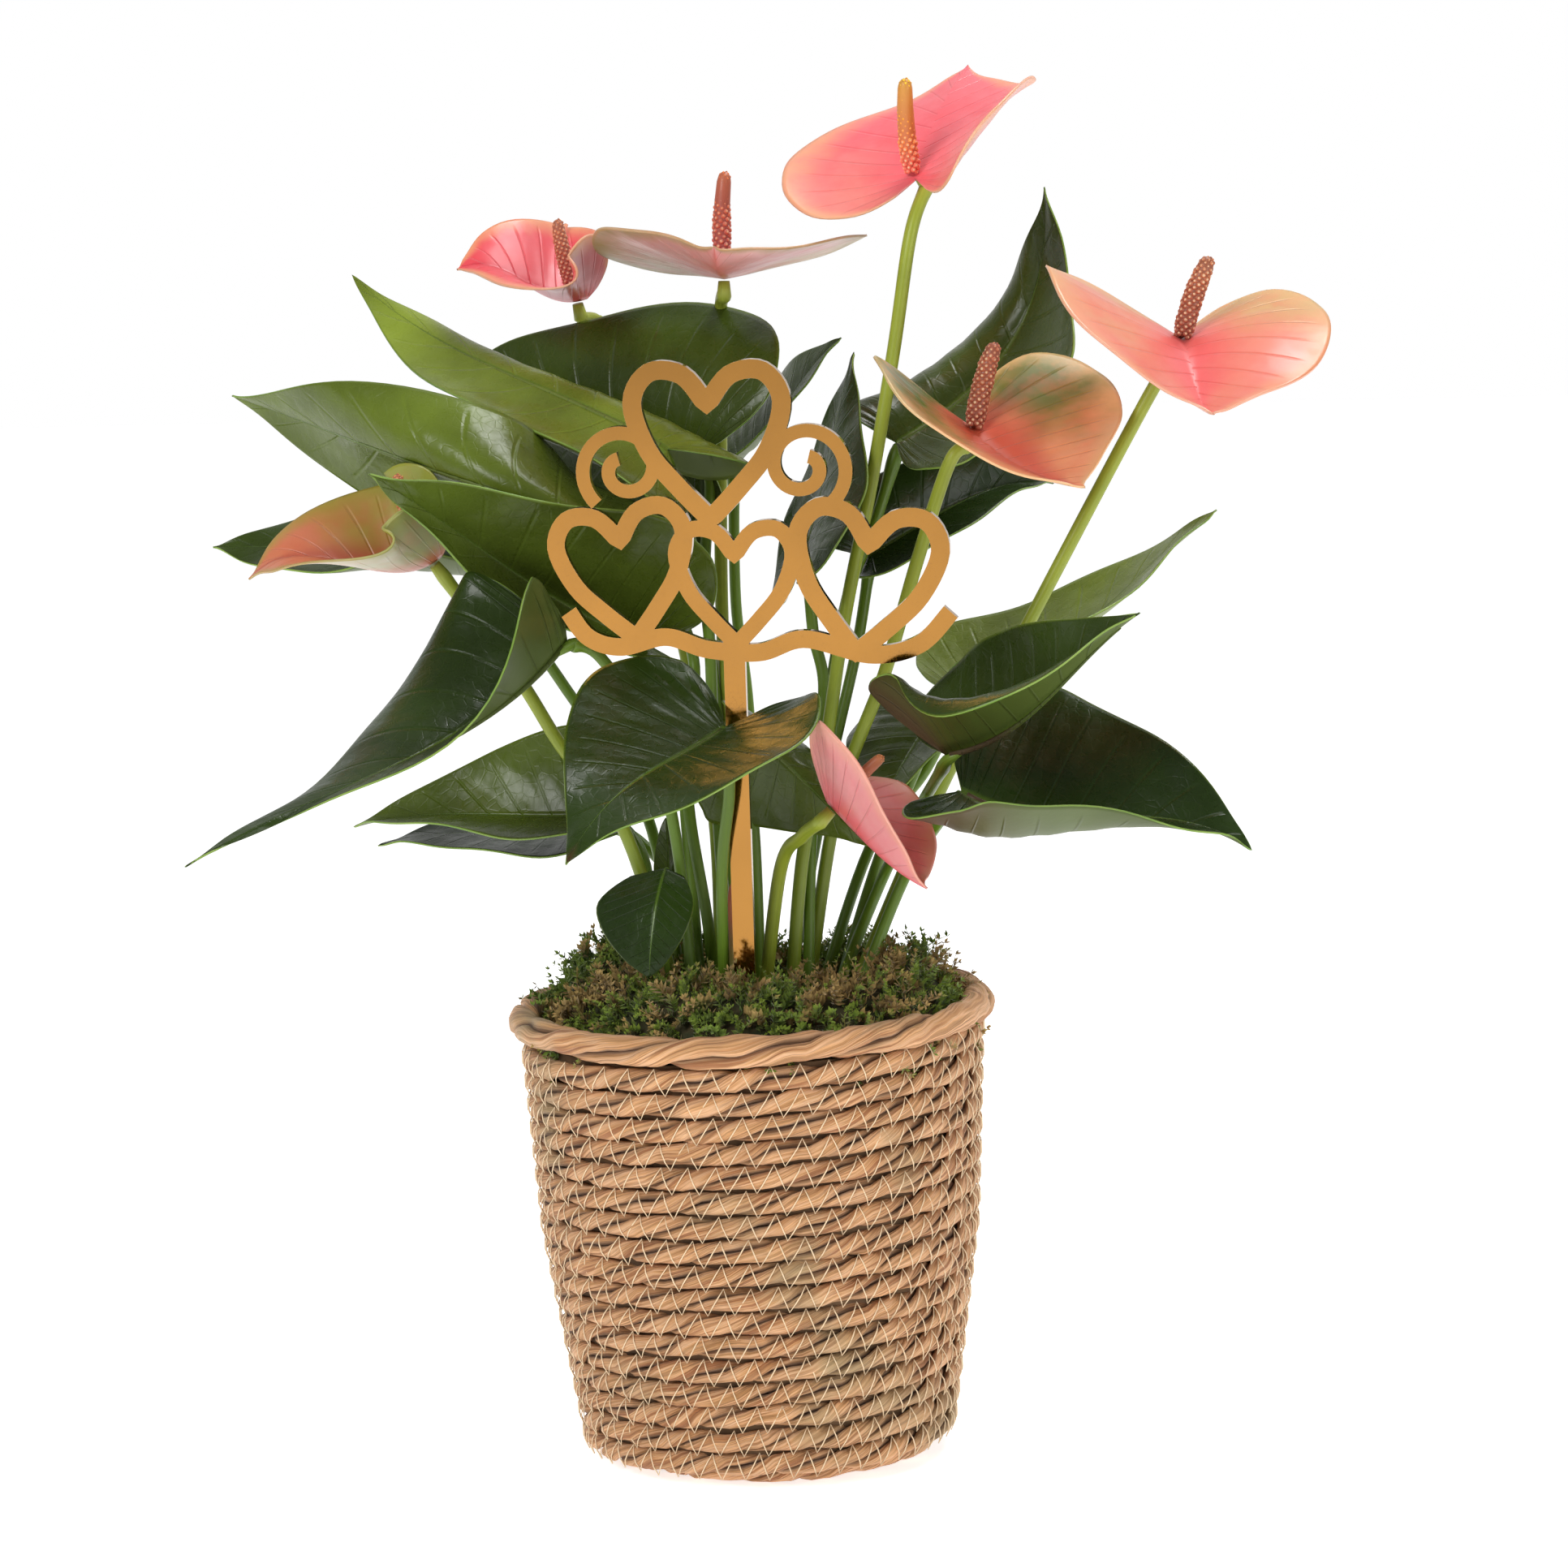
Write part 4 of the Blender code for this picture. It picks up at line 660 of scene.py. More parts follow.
def ropeMaterial():
    material, g = newMaterial("seagrassRope", rough=0.62, Sheen_Weight=0.12)
    ring = g.attribute("ring", "Vector")
    along = g.attribute("along")
    ply = g.attribute("ply")
    where = g.place()
    x, y, _ = g.parts(ring)
    seed = g.times(ply, 7.3)
    fibre = g.xyz(g.times(x, 5.0), g.times(y, 5.0), g.plus(g.times(along, 14.0), seed))
    strands = g.noise(fibre, 1.0, 5.0, 0.65)
    broad = g.xyz(g.times(x, 1.6), g.times(y, 1.6), g.plus(g.times(along, 26.0), seed))
    leafTone = g.noise(broad, 1.0, 2.0)
    patch = g.noise(where, 22.0, 3.0)
    colour = g.ramp(leafTone, (0.36, (0.42, 0.16, 0.05)), (0.44, (0.66, 0.32, 0.12)),
                    (0.51, (0.88, 0.51, 0.27)), (0.57, (0.80, 0.41, 0.17)), (0.66, (0.52, 0.25, 0.085)))
    colour = g.mix(g.span(strands, 0.52, 0.66, 0, 0.75), colour, (0.28, 0.11, 0.035))
    colour = g.mix(g.span(strands, 0.3, 0.44, 0.6, 0), colour, (0.98, 0.66, 0.40))
    colour = g.mix(g.span(patch, 0.55, 0.68, 0, 0.6), colour, (0.36, 0.30, 0.15))
    # Painted shade: the sides and backs of a ply lie deep in the rope and are painted darker.
    colour = g.mix(g.ease(x, -0.9, -0.15, 0.9, 0), colour, (0.13, 0.055, 0.018))
    g.shade("Base Color", colour)
    g.shade("Roughness", g.span(strands, 0.3, 0.7, 0.5, 0.75))
    fine = g.xyz(g.times(x, 16.0), g.times(y, 16.0), g.times(along, 20.0))
    height = g.plus(g.times(strands, -1.0), g.times(g.noise(fine, 1.0, 3.0), 0.5))
    g.bump(height, 1.1, 0.9)
    return material


def threadMaterial():
    material, g = newMaterial("stitchThread", rough=0.5)
    where = g.place()
    tone = g.noise(where, 900.0, 2.0)
    g.shade("Base Color", g.mix(tone, (0.72, 0.53, 0.32), (0.92, 0.74, 0.50)))
    g.bump(tone, 0.1, 0.5)
    return material


def mossMaterial():
    material, g = newMaterial("mossSprigs", rough=0.75, Sheen_Weight=0.2)
    tone = g.attribute("tone")
    reach = g.attribute("reach")
    where = g.place()
    patch = g.noise(where, 36.0, 2.0)
    brown = g.ease(g.sway(patch, tone, 0.3), 0.56, 0.63, 0, 1)
    green = g.mix(reach, (0.045, 0.08, 0.006), (0.25, 0.34, 0.02))
    green = g.mix(g.span(tone, 0.0, 1.0, 0, 0.5), green, (0.05, 0.12, 0.01))
    dry = g.mix(reach, (0.10, 0.055, 0.014), (0.42, 0.28, 0.085))
    colour = g.mix(brown, green, dry)
    g.shade("Base Color", colour)
    g.bump(g.noise(where, 900.0, 2.0), 0.2, 0.5)
    return material


def goldMaterials():
    made = []
    # The cut edges are painted pale and nearly matte, a painted highlight along the rim over the gold of the
    # edge.
    for name, colour, rough, metal in (("goldFace", (0.37, 0.17, 0.029), 0.08, 1.0),
                                       ("goldEdgeHighlight", (1.0, 0.86, 0.46), 0.22, 0.15)):
        coat = dict(Coat_Weight=0.4, Coat_Roughness=0.04)
        material, g = newMaterial(name, rough=rough, metal=metal, **coat)
        where = g.place()
        smear = g.noise(where, 40.0, 3.0)
        dust = g.noise(where, 1400.0, 2.0)
        duller = tuple(a * 0.88 for a in colour)
        g.shade("Base Color", g.mix(g.span(smear, 0.3, 0.7), colour, duller))
        g.shade("Roughness", g.span(dust, 0.45, 0.8, rough, rough + 0.12))
        g.bump(smear, 0.25, 0.15)
        made.append(material)
    return made


def spadixMaterial(name, tones, smooth):
    material, g = newMaterial(name, rough=0.5, Coat_Weight=0.1)
    share = g.attribute("share")
    tip = g.attribute("tip")
    where = g.place()
    colour = g.ramp(share, (0.1, tones[0]), (0.55, tones[1]), (0.95, tones[2]))
    # Painted shade: each bead is darkened towards its foot, and the core between the beads is darkened most.
    colour = g.mix(g.ease(tip, -0.2, 0.5, 0.6, 0), colour, tuple(a * 0.45 for a in tones[0]))
    dot = g.times(g.ease(tip, 0.8, 0.93, 0, 0.8), g.span(g.noise(where, 300.0), 0.3, 0.5))
    dot = g.times(dot, g.span(share, smooth - 0.1, smooth + 0.05, 1, 0))
    colour = g.mix(dot, colour, (0.80, 0.58, 0.34))
    g.shade("Base Color", colour)
    g.bump(g.noise(where, 1500.0, 2.0), 0.08, 0.5)
    return material


def shootMaterial():
    material, g = newMaterial("shootSkin", rough=0.42)
    u, v, _ = g.uv()
    colour = g.ramp(u, (0.0, (0.17, 0.26, 0.05)), (0.55, (0.20, 0.30, 0.06)), (0.76, (0.30, 0.16, 0.05)),
                    (0.84, (0.42, 0.10, 0.04)), (1.0, (0.33, 0.07, 0.03)))
    streak = g.noise(g.xyz(g.times(u, 4.0), g.times(v, 20.0)), 1.0, 3.0)
    colour = g.mix(g.span(streak, 0.4, 0.8, 0, 0.4), colour, (0.10, 0.12, 0.03))
    g.shade("Base Color", colour)
    g.bump(streak, 0.2, 0.5)
    return material


def plainMaterial(name, first, second, rough, scale, depth, **constants):
    material, g = newMaterial(name, rough=rough, **constants)
    where = g.place()
    cloud = g.noise(where, scale, 5.0, 0.65)
    g.shade("Base Color", g.mix(g.span(cloud, 0.35, 0.65), first, second))
    g.shade("Roughness", g.span(cloud, 0.3, 0.7, rough - 0.08, rough + 0.08))
    g.bump(cloud, depth, 0.8)
    return material


def newTree(name, numbers, counts="", vectors=""):
    # The trees work in metres.
    tree = bpy.data.node_groups.new(name, "GeometryNodeTree")
    for kind, keys in (("Geometry", "Geometry"), ("Float", numbers), ("Int", counts), ("Vector", vectors)):
        for key in keys.split():
            tree.interface.new_socket(key, in_out="INPUT", socket_type="NodeSocket" + kind)
    tree.interface.new_socket("Geometry", in_out="OUTPUT", socket_type="NodeSocketGeometry")
    graph = Graph(tree)
    return tree, graph, graph.add("NodeGroupInput").outputs


def closeTree(graph, geometry, material):
    real = graph.geo("RealizeInstances", geometry)
    done = graph.geo("SetMaterial", real, Material=material)
    smooth = graph.geo("SetShadeSmooth", done)
    graph.add("NodeGroupOutput", smooth)


def grow(name, tree, material, mesh=None, **values):
    # Runs a tree on a carrier object and keeps the result as a plain mesh.
    carrier = newObject(name, mesh or bpy.data.meshes.new(name))
    modifier = carrier.modifiers.new("grow", "NODES")
    modifier.node_group = tree
    for item in tree.interface.items_tree:
        if item.item_type == "SOCKET" and item.in_out == "INPUT" and item.name in values:
            modifier[item.identifier] = values[item.name]
    bpy.context.view_layer.update()
    graph = bpy.context.evaluated_depsgraph_get()
    grown = carrier.evaluated_get(graph)
    made = bpy.data.meshes.new_from_object(grown, preserve_all_data_layers=True, depsgraph=graph)
    bpy.data.objects.remove(carrier)
    made.name = name
    if not made.materials:
        made.materials.append(material)
    return newObject(name, made)


coilValues = "laps start radiusLow radiusHigh heightLow heightHigh"


def coilPath(g, ins, share):
    # Angle, radius and height along a coil, all from its share of the way, 0 to 1.
    angle = g.plus(g.times(share, g.times(ins["laps"], 2 * math.pi)), ins["start"])
    radius = g.plus(ins["radiusLow"], g.times(share, g.minus(ins["radiusHigh"], ins["radiusLow"])))
    height = g.plus(ins["heightLow"], g.times(share, g.minus(ins["heightHigh"], ins["heightLow"])))
    return angle, radius, height


rope = dict(ply=1.95, twist=1.75, flat=1.5, turnsPerLap=9.3, steps=13, rimPly=2.8, rimTwist=2.1, rimTurns=5,
            rimSteps=44)
stitch = dict(perLap=50, thread=0.21, reach=4.2, slant=0.26, sink=1.3)
basket = dict(height=145.5, lean=-3, rise=2, rimRadius=76.5, low=(59.3, 4.4), middle=(69.8, 73.5),
              top=(73.5, 135), foot=51.5)


def leanNodes(g, point):
    # The mouth of the basket stands 3 mm to the left of its floor and is 2 mm higher at the right.
    x, y, z = g.parts(point)
    part = g.math("DIVIDE", z, basket["height"] * mm)
    shifted = g.plus(x, g.times(part, basket["lean"] * mm))
    raised = g.plus(z, g.times(part, g.times(x, basket["rise"] / basket["rimRadius"])))
    return g.xyz(shifted, y, raised)


def ropeTree(material):
    tree, g, ins = newTree("ropeCoil", coilValues + " ply twist flat perLap", "steps seed")
    joined = g.geo("JoinGeometry")
    for phase in (0.0, math.pi):
        line = g.geo("MeshLine", ins["steps"])
        share = g.math("DIVIDE", g.geo("InputIndex"), g.minus(ins["steps"], 1.0))
        angle, radius, height = coilPath(g, ins, share)
        wander = g.noise(g.xyz(angle, 0.0, ins["seed"]), 2.2, 2.0)
        sag = g.noise(g.xyz(angle, 5.0, ins["seed"]), 1.7, 2.0)
        turn = g.sway(g.plus(g.times(angle, ins["perLap"]), phase), wander, 5.0)
        outward, upward = g.math("COSINE", turn), g.math("SINE", turn)
        height = g.sway(height, sag, 0.0026)
        point = g.around(angle, g.plus(radius, g.times(outward, ins["twist"])),
                         g.plus(height, g.times(upward, ins["twist"])))
        placed = g.geo("SetPosition", line, None, leanNodes(g, point))
        # The wide side of each ply faces away from the rope's middle.
        normal = g.around(angle, outward, upward)
        kept = g.store(placed, "along", g.times(angle, radius))
        kept = g.store(kept, "ply", phase + 0.5)
        kept = g.store(kept, "facing", normal, "FLOAT_VECTOR")
        curve = g.geo("MeshToCurve", kept)
        facing = g.named("facing", "FLOAT_VECTOR")
        curve = g.geo("SetCurveNormal", curve, None, facing, props=dict(mode="FREE"))
        circle = g.geo("CurvePrimitiveCircle", 16, Radius=1.0)
        ring = g.store(circle, "ring", g.geo("InputPosition"), "FLOAT_VECTOR")
        squashed = g.geo("Transform", ring, None, None, g.xyz(1.0, ins["flat"], 1.0))
        thick = g.noise(g.xyz(angle, g.plus(ins["seed"], phase)), 5.5, 2.0)
        size = g.times(ins["ply"], g.span(thick, 0.3, 0.7, 0.74, 1.16))
        tube = g.geo("CurveToMesh", curve, squashed, size, True)
        # Each ply is a bundle of folded leaves, creased along its length.
        around = g.named("ring", "FLOAT_VECTOR")
        far = g.named("along")
        x, y, _ = g.parts(around)
        lengthwise = g.plus(g.times(far, 22.0), phase * 3.0)
        crease = g.noise(g.xyz(g.times(x, 1.5), g.times(y, 1.5), lengthwise), 1.0, 2.0)
        fold = g.times(g.minus(crease, 0.55), g.times(ins["ply"], 0.55))
        tube = g.geo("SetPosition", tube, None, None, g.scaled(g.geo("InputNormal"), fold))
        g.put(joined.inputs[0], tube)
    closeTree(g, joined, material)
    return tree


def stitchTree(material):
    # A zigzag from the groove under a row to the groove over it, laid round the row's crest.
    tree, g, ins = newTree("stitches", coilValues + " perLap reach slant thread crest groove")
    bends = 3
    count = g.times(g.times(ins["laps"], ins["perLap"]), 2.0 * bends)
    line = g.geo("MeshLine", count)
    place = g.math("DIVIDE", g.geo("InputIndex"), float(bends))
    swung = g.math("PINGPONG", place, 1.0)
    share = g.math("DIVIDE", g.times(g.plus(place, g.times(swung, ins["slant"])), float(bends)), count)
    angle, radius, height = coilPath(g, ins, share)
    jitter = g.noise(g.xyz(g.math("ROUND", place)), 0.731)
    side = g.minus(g.times(swung, 2.0), 1.0)
    away = g.times(side, side)
    over = g.plus(ins["crest"], g.times(away, g.minus(ins["groove"], ins["crest"])))
    height = g.sway(g.plus(height, g.times(side, ins["reach"])), jitter, 0.0016)
    point = g.around(angle, g.plus(radius, over), height)
    placed = g.geo("SetPosition", line, None, leanNodes(g, point))
    curve = g.geo("MeshToCurve", placed)
    circle = g.geo("CurvePrimitiveCircle", 4, Radius=1.0)
    tube = g.geo("CurveToMesh", curve, circle, ins["thread"], True)
    closeTree(g, tube, material)
    return tree


sprigLook = dict(kinds=5, length=(8.5, 13.0), lean=(0.2, 0.7), curl=0.4, stem=0.22, leaf=3.6, density=100000,
                 size=(0.55, 1.25), tilt=0.75)


def scatterTree(sprigs, material):
    tree, g, ins = newTree("scatterSprigs", "density", "seed")
    spread = g.geo("DistributePointsOnFaces", ins["Geometry"], Density=ins["density"], Seed=ins["seed"])
    group = g.geo("CollectionInfo", sprigs, True, True)
    tilt = sprigLook["tilt"]
    spin = g.add("FunctionNodeRandomValue", (-tilt, -tilt, 0.0), (tilt, tilt, 6.283),
                 props=dict(data_type="FLOAT_VECTOR"))
    g.put(spin.inputs[8], ins["seed"])
    spun = g.add("FunctionNodeEulerToRotation", spin.outputs[0])
    turned = g.add("FunctionNodeRotateRotation", spread.outputs["Rotation"], spun,
                   props=dict(rotation_space="LOCAL"))
    size = g.random(*sprigLook["size"])
    placed = g.geo("InstanceOnPoints", spread.outputs["Points"], None, group, True, None,
                   turned, g.xyz(size, size, size))
    kept = g.store(placed, "tone", g.random(), domain="INSTANCE")
    closeTree(g, kept, material)
    return tree


knobs = dict(count=170, size=0.88)
goldenAngle = 2.39996


def knobTree(material):
    # Small beads in the crossing spirals of a spadix, on a spine from foot to top.
    tree, g, ins = newTree("spadixBeads", "size girth smooth", "count seed",
                           "foot reach bend sideways forward")
    index = g.geo("InputIndex").outputs[0]
    share = g.math("DIVIDE", g.plus(index, 0.5), ins["count"])
    angle = g.times(index, goldenAngle)
    taper = g.times(g.ease(share, 0.0, 0.12, 0.72, 1), g.ease(share, 0.5, 1.0, 1, 0.74))
    radius = g.times(ins["girth"], taper)
    closing = g.span(share, 0.93, 1.0)
    radius = g.times(radius, g.math("SQRT", g.minus(1.0, g.times(closing, closing))))
    side = g.vector("ADD", g.scaled(ins["sideways"], g.math("COSINE", angle)),
                    g.scaled(ins["forward"], g.math("SINE", angle)))
    bow = g.times(g.times(share, g.minus(1.0, share)), 4.0)
    spine = g.vector("ADD", ins["foot"], g.scaled(ins["reach"], share))
    spine = g.vector("ADD", spine, g.scaled(ins["bend"], bow))
    line = g.geo("MeshLine", ins["count"])
    placed = g.geo("SetPosition", line, None, g.vector("ADD", spine, g.scaled(side, radius)))
    kept = g.store(placed, "share", share)
    kept = g.store(kept, "side", side, "FLOAT_VECTOR")
    points = g.geo("MeshToPoints", kept)
    bead = g.geo("MeshIcoSphere", 1.0, 2)
    top = g.parts(g.geo("InputPosition"))[2]
    bead = g.store(bead, "tip", top)
    facing = g.named("side", "FLOAT_VECTOR")
    turned = g.add("FunctionNodeAlignRotationToVector", None, None, facing)
    size = g.times(g.random(0.85, 1.15, ins["seed"]), ins["size"])
    flatter = g.span(g.named("share"), g.minus(ins["smooth"], 0.2), ins["smooth"], 1.0, 0.5)
    size = g.times(size, flatter)
    beads = g.geo("InstanceOnPoints", points, None, bead, None, None, turned, g.xyz(size, size, size))
    closeTree(g, beads, material)
    return tree


mat = dict(outer=64.2, opening=40, ground=131, rise=3, lumps=1.2,
           hill=dict(x=-46, y=16, height=11, spread=300))
tiltRadius = 75


def basketPoint(angle, r, z):
    # Leaned and raised as the ropes are.
    x, y = r * math.cos(angle), r * math.sin(angle)
    share = z / basket["height"]
    return x + basket["lean"] * share, y, z + basket["rise"] * share * x / tiltRadius


def lump(angle, r):
    return mat["lumps"] * (math.sin(3 * angle + 1.1) + 0.7 * math.sin(7 * angle + 40 * r / mat["outer"])
                           + 0.5 * math.sin(11 * angle))


def matPoint(angle, r, z):
    # The mat's opening is wider from left to right and lies a little to the right and back.
    inner = min(max((mat["outer"] - r) / (mat["outer"] - mat["opening"]), 0), 1)
    x = r * math.cos(angle) + 3 * inner - 2.55
    y = r * math.sin(angle) * (1 - 0.2 * inner) + 3 * inner
    if z > mat["ground"]:
        hill = mat["hill"]
        z += mat["rise"] * x / tiltRadius + lump(angle, r) * min(1, inner * 2 + 0.2)
        z += hill["height"] * math.exp(-((x - hill["x"]) ** 2 + (y - hill["y"]) ** 2) / hill["spread"])
    return x, y, z


def turned(name, section, steps, material, placed, closed=True):
    # A section of (radius, height) turned about the vertical axis, with each point set by a function.
    count = len(section)
    points = [placed(2 * math.pi * i / steps, r, z) for i in range(steps) for r, z in section]
    faces = []
    spans = count if closed else count - 1
    for i in range(steps):
        k = (i + 1) % steps
        for j in range(spans):
            n = (j + 1) % count
            faces.append((i * count + j, i * count + n, k * count + n, k * count + j))
    obj = meshObject(name, np.array(points) * mm, faces, [material] if material else [])
    turnOutward(obj)
    return obj


def turnOutward(obj):
    shape = bmesh.new()
    shape.from_mesh(obj.data)
    bmesh.ops.recalc_face_normals(shape, faces=shape.faces)
    shape.to_mesh(obj.data)
    shape.free()


def sprigObject(number, collection, material, random):
    # A curved stem strip with small pointed leaves on both sides and on top.
    length = random.uniform(*sprigLook["length"])
    lean, curl = random.uniform(*sprigLook["lean"]), random.uniform(-sprigLook["curl"], sprigLook["curl"])
    share = np.linspace(0, 1, 7)
    stem = np.stack([length * lean * share ** 1.6, length * curl * share ** 2,
                     length * share * (1 - 0.25 * share)], axis=1)
    points, faces, reach = [], [], []
    for i, place in enumerate(stem):
        half = sprigLook["stem"] * (1 - 0.7 * share[i])
        points += [place + (0, half, 0), place - (0, half, 0)]
        reach += [share[i] * 0.7] * 2
        if i:
            a = 2 * i
            faces.append((a - 2, a - 1, a + 1, a))
    for i in range(1, 7):
        for k in range(4):
            turn = k * math.pi / 2 + i * 0.8 + random.uniform(-0.4, 0.4)
            size = sprigLook["leaf"] * (1 - 0.5 * share[i]) * random.uniform(0.75, 1.2)
            out = np.array([0.45 * math.cos(turn), math.sin(turn), 0.75])
            out /= np.linalg.norm(out)
            wide = np.cross(out, (0.3, 0.2, 1.0))
            wide = wide / np.linalg.norm(wide) * size * 0.22
            foot = stem[i] - (0, 0, 0.3)
            n = len(points)
            points += [foot, foot + out * size * 0.5 + wide, foot + out * size,
                       foot + out * size * 0.5 - wide]
            reach += [share[i] * 0.6, 0.7, 1.0, 0.7]
            faces.append((n, n + 1, n + 2, n + 3))
    obj = meshObject(f"sprig{number}", np.array(points) * mm, faces, [material],
                     attributes=dict(reach=reach))
    bpy.context.scene.collection.objects.unlink(obj)
    collection.objects.link(obj)


def ribbon(name, points, width, closed=False):
    points = np.asarray(points, dtype=float)
    ahead, behind = np.roll(points, -1, axis=0), np.roll(points, 1, axis=0)
    if not closed:
        ahead[-1], behind[0] = points[-1], points[0]
    direction = unit(ahead - behind)
    normal = np.stack([-direction[:, 1], direction[:, 0]], axis=1) * width / 2
    half = ornament["thickness"] / 2
    count = len(points)
    corners = []
    for place, side in zip(points, normal):
        for sign, depth in ((1, -half), (-1, -half), (-1, half), (1, half)):
            x, z = place + side * sign
            corners.append((x, depth, z))
    faces = []
    for i in range(count if closed else count - 1):
        a, b = 4 * i, 4 * ((i + 1) % count)
        faces += [(a + k, a + (k + 1) % 4, b + (k + 1) % 4, b + k) for k in range(4)]
    if not closed:
        faces += [(0, 1, 2, 3), (4 * count - 1, 4 * count - 2, 4 * count - 3, 4 * count - 4)]
    obj = meshObject(name, np.array(corners) * mm, faces, [])
    turnOutward(obj)
    return obj


ornament = dict(thickness=3.0, bevel=0.65, scrollStroke=4.2, bandStroke=5.5, scrollRadii=(3.5, 14),
                foot=(-4, -21, 109.5), yaw=-8, lean=4, stakeWidth=6.6, stakeTop=152)
# Hearts: centre, size, turn and stroke. Scrolls: centre, first angle and sweep.
hearts = (((-6, 214), 46, 0, 5.8), ((-33, 174), 40, 8, 5.5), ((41, 171), 44, -8, 5.8), ((1, 170), 36, 0, 5))
scrolls = (((-32, 205), 120, 470), ((23, 205), 60, -470))
band = ((-51, 161), (-45, 153), (-35, 150), (-21, 153), (-8, 149), (8, 148), (22, 152), (42, 147),
        (57, 150), (67, 160))


def pickObject():
    # A flat openwork of hearts and scrolls on a stake, cut from one mirror sheet.
    face, edge = goldMaterials()
    half = np.array([(0, 0.22), (0.16, 0.42), (0.38, 0.44), (0.5, 0.24), (0.4, -0.08), (0.2, -0.33),
                     (0, -0.54)])
    half = smoothAt(half, np.linspace(0, 6, 31))
    outline = np.vstack([half, (half * (-1, 1))[-2:0:-1]])
    strips = []
    for centre, size, turn, stroke in hearts:
        a = math.radians(turn)
        spin = np.array([(math.cos(a), math.sin(a)), (-math.sin(a), math.cos(a))])
        strips.append(ribbon("strip", centre + outline @ spin * size, stroke, closed=True))
    for centre, start, sweep in scrolls:
        share = np.linspace(0, 1, 61)
        a = np.radians(start + sweep * share)
        inner, outer = ornament["scrollRadii"]
        radius = inner + (outer - inner) * share
        curl = centre + np.stack([np.cos(a), np.sin(a)], axis=1) * radius[:, None]
        strips.append(ribbon("strip", curl, ornament["scrollStroke"]))
    path = smoothAt(band, np.linspace(0, len(band) - 1, 81))
    strips.append(ribbon("strip", path, ornament["bandStroke"]))
    stake = ribbon("pickOrnament", [(0, 0), (0, ornament["stakeTop"])], ornament["stakeWidth"])
    group = bpy.data.collections.new("strips")
    for strip in strips:
        group.objects.link(strip)
    union = stake.modifiers.new("join", "BOOLEAN")
    union.operation, union.solver, union.use_self = "UNION", "EXACT", True
    union.operand_type, union.collection = "COLLECTION", group
    applyModifiers(stake)
    for strip in strips:
        bpy.data.objects.remove(strip)
    shape = bmesh.new()
    shape.from_mesh(stake.data)
    bmesh.ops.remove_doubles(shape, verts=shape.verts, dist=0.001 * mm)
    bmesh.ops.dissolve_limit(shape, angle_limit=math.radians(2), verts=shape.verts, edges=shape.edges)
    bmesh.ops.recalc_face_normals(shape, faces=shape.faces)
    for side in shape.faces:
        side.material_index = 0 if abs(side.normal.y) > 0.9 else 1
        side.smooth = True
    shape.to_mesh(stake.data)
    shape.free()
    stake.data.materials.clear()
    for material in (face, edge):
        stake.data.materials.append(material)
    bevel = stake.modifiers.new("bevel", "BEVEL")
    bevel.width, bevel.segments, bevel.material = ornament["bevel"] * mm, 2, 1
    bevel.limit_method, bevel.angle_limit = "ANGLE", math.radians(50)
    weighted = stake.modifiers.new("shading", "WEIGHTED_NORMAL")
    weighted.keep_sharp = True
    applyModifiers(stake)
    yaw = Matrix.Rotation(math.radians(ornament["yaw"]), 4, "Z")
    lean = Matrix.Rotation(math.radians(ornament["lean"]), 4, "X")
    stake.data.transform(Matrix.Translation(Vector(ornament["foot"]) * mm) @ yaw @ lean)
    return stake


print("helpers ready")


def makeLeaf(number, spec):
    bud = "bud" in spec
    blade = Blade(spec, budEdge, budWidest) if bud else Blade(spec, leafEdge, leafWidest)
    girth = stalkLook["small"] if bud else stalkLook["petiole"]
    made = [leafTopMaterial("leaf" + number, spec), leafUnderMaterial("leaf" + number, spec)]
    piece = bladeMesh("leafBlade" + number, blade, leafLook, made + [edgeMaterial, petioleMaterial],
                      float(number))
    up = blade.up(0.0)
    base, tongue = (blade.midrib(np.array([t]))[0][0] for t in (0.0, min(0.06, 6 / blade.length)))
    path = stalkPath(spec, [base - up * girth], stalkLook["steps"])
    path = np.vstack([path, tongue - up * 0.5])
    share = np.linspace(0, 1, len(path))
    # Thicker at the joint under the blade
    radii = girth * (0.92 + 0.28 * np.exp(-((share - 0.93) / 0.05) ** 2))
    radii[-1] = girth * 0.4
    radii[-2] = girth * 0.95
    addTube(piece, path, radii, stalkLook["sides"], 3)
    # The raised midrib of the underside
    along = np.linspace(0.02, 0.9, 24)
    rib = blade.midrib(along)[0] - np.array([blade.up(t) for t in along]) * 0.35
    addTube(piece, rib, leafLook["rib"] * (1 - 0.75 * np.linspace(0, 1, 24)) * girth / 2 * 0.8, 8, 1)
    finishPiece(piece, ["leaf_" + number])


for number, spec in leaves.items():
    makeLeaf(number, spec)
print("leaves ready")


def makePeduncle(number, spec, under, up):
    path = np.vstack([stalkPath(spec, [under - up * 5], stalkLook["steps"]), under])
    share = np.linspace(0, 1, len(path))
    radii = stalkLook["peduncle"] * (0.92 + 0.12 * np.exp(-((share - 0.98) / 0.04) ** 2))
    radii[-1] = stalkLook["peduncle"] * 0.8
    points, faces, uv = tubeArrays(path, radii, stalkLook["sides"])
    stalk = meshObject("peduncle" + number, points * mm, faces, [peduncleMaterial], uv=uv)
    finishPiece(stalk, ["bloom_" + number + "_stalk"])


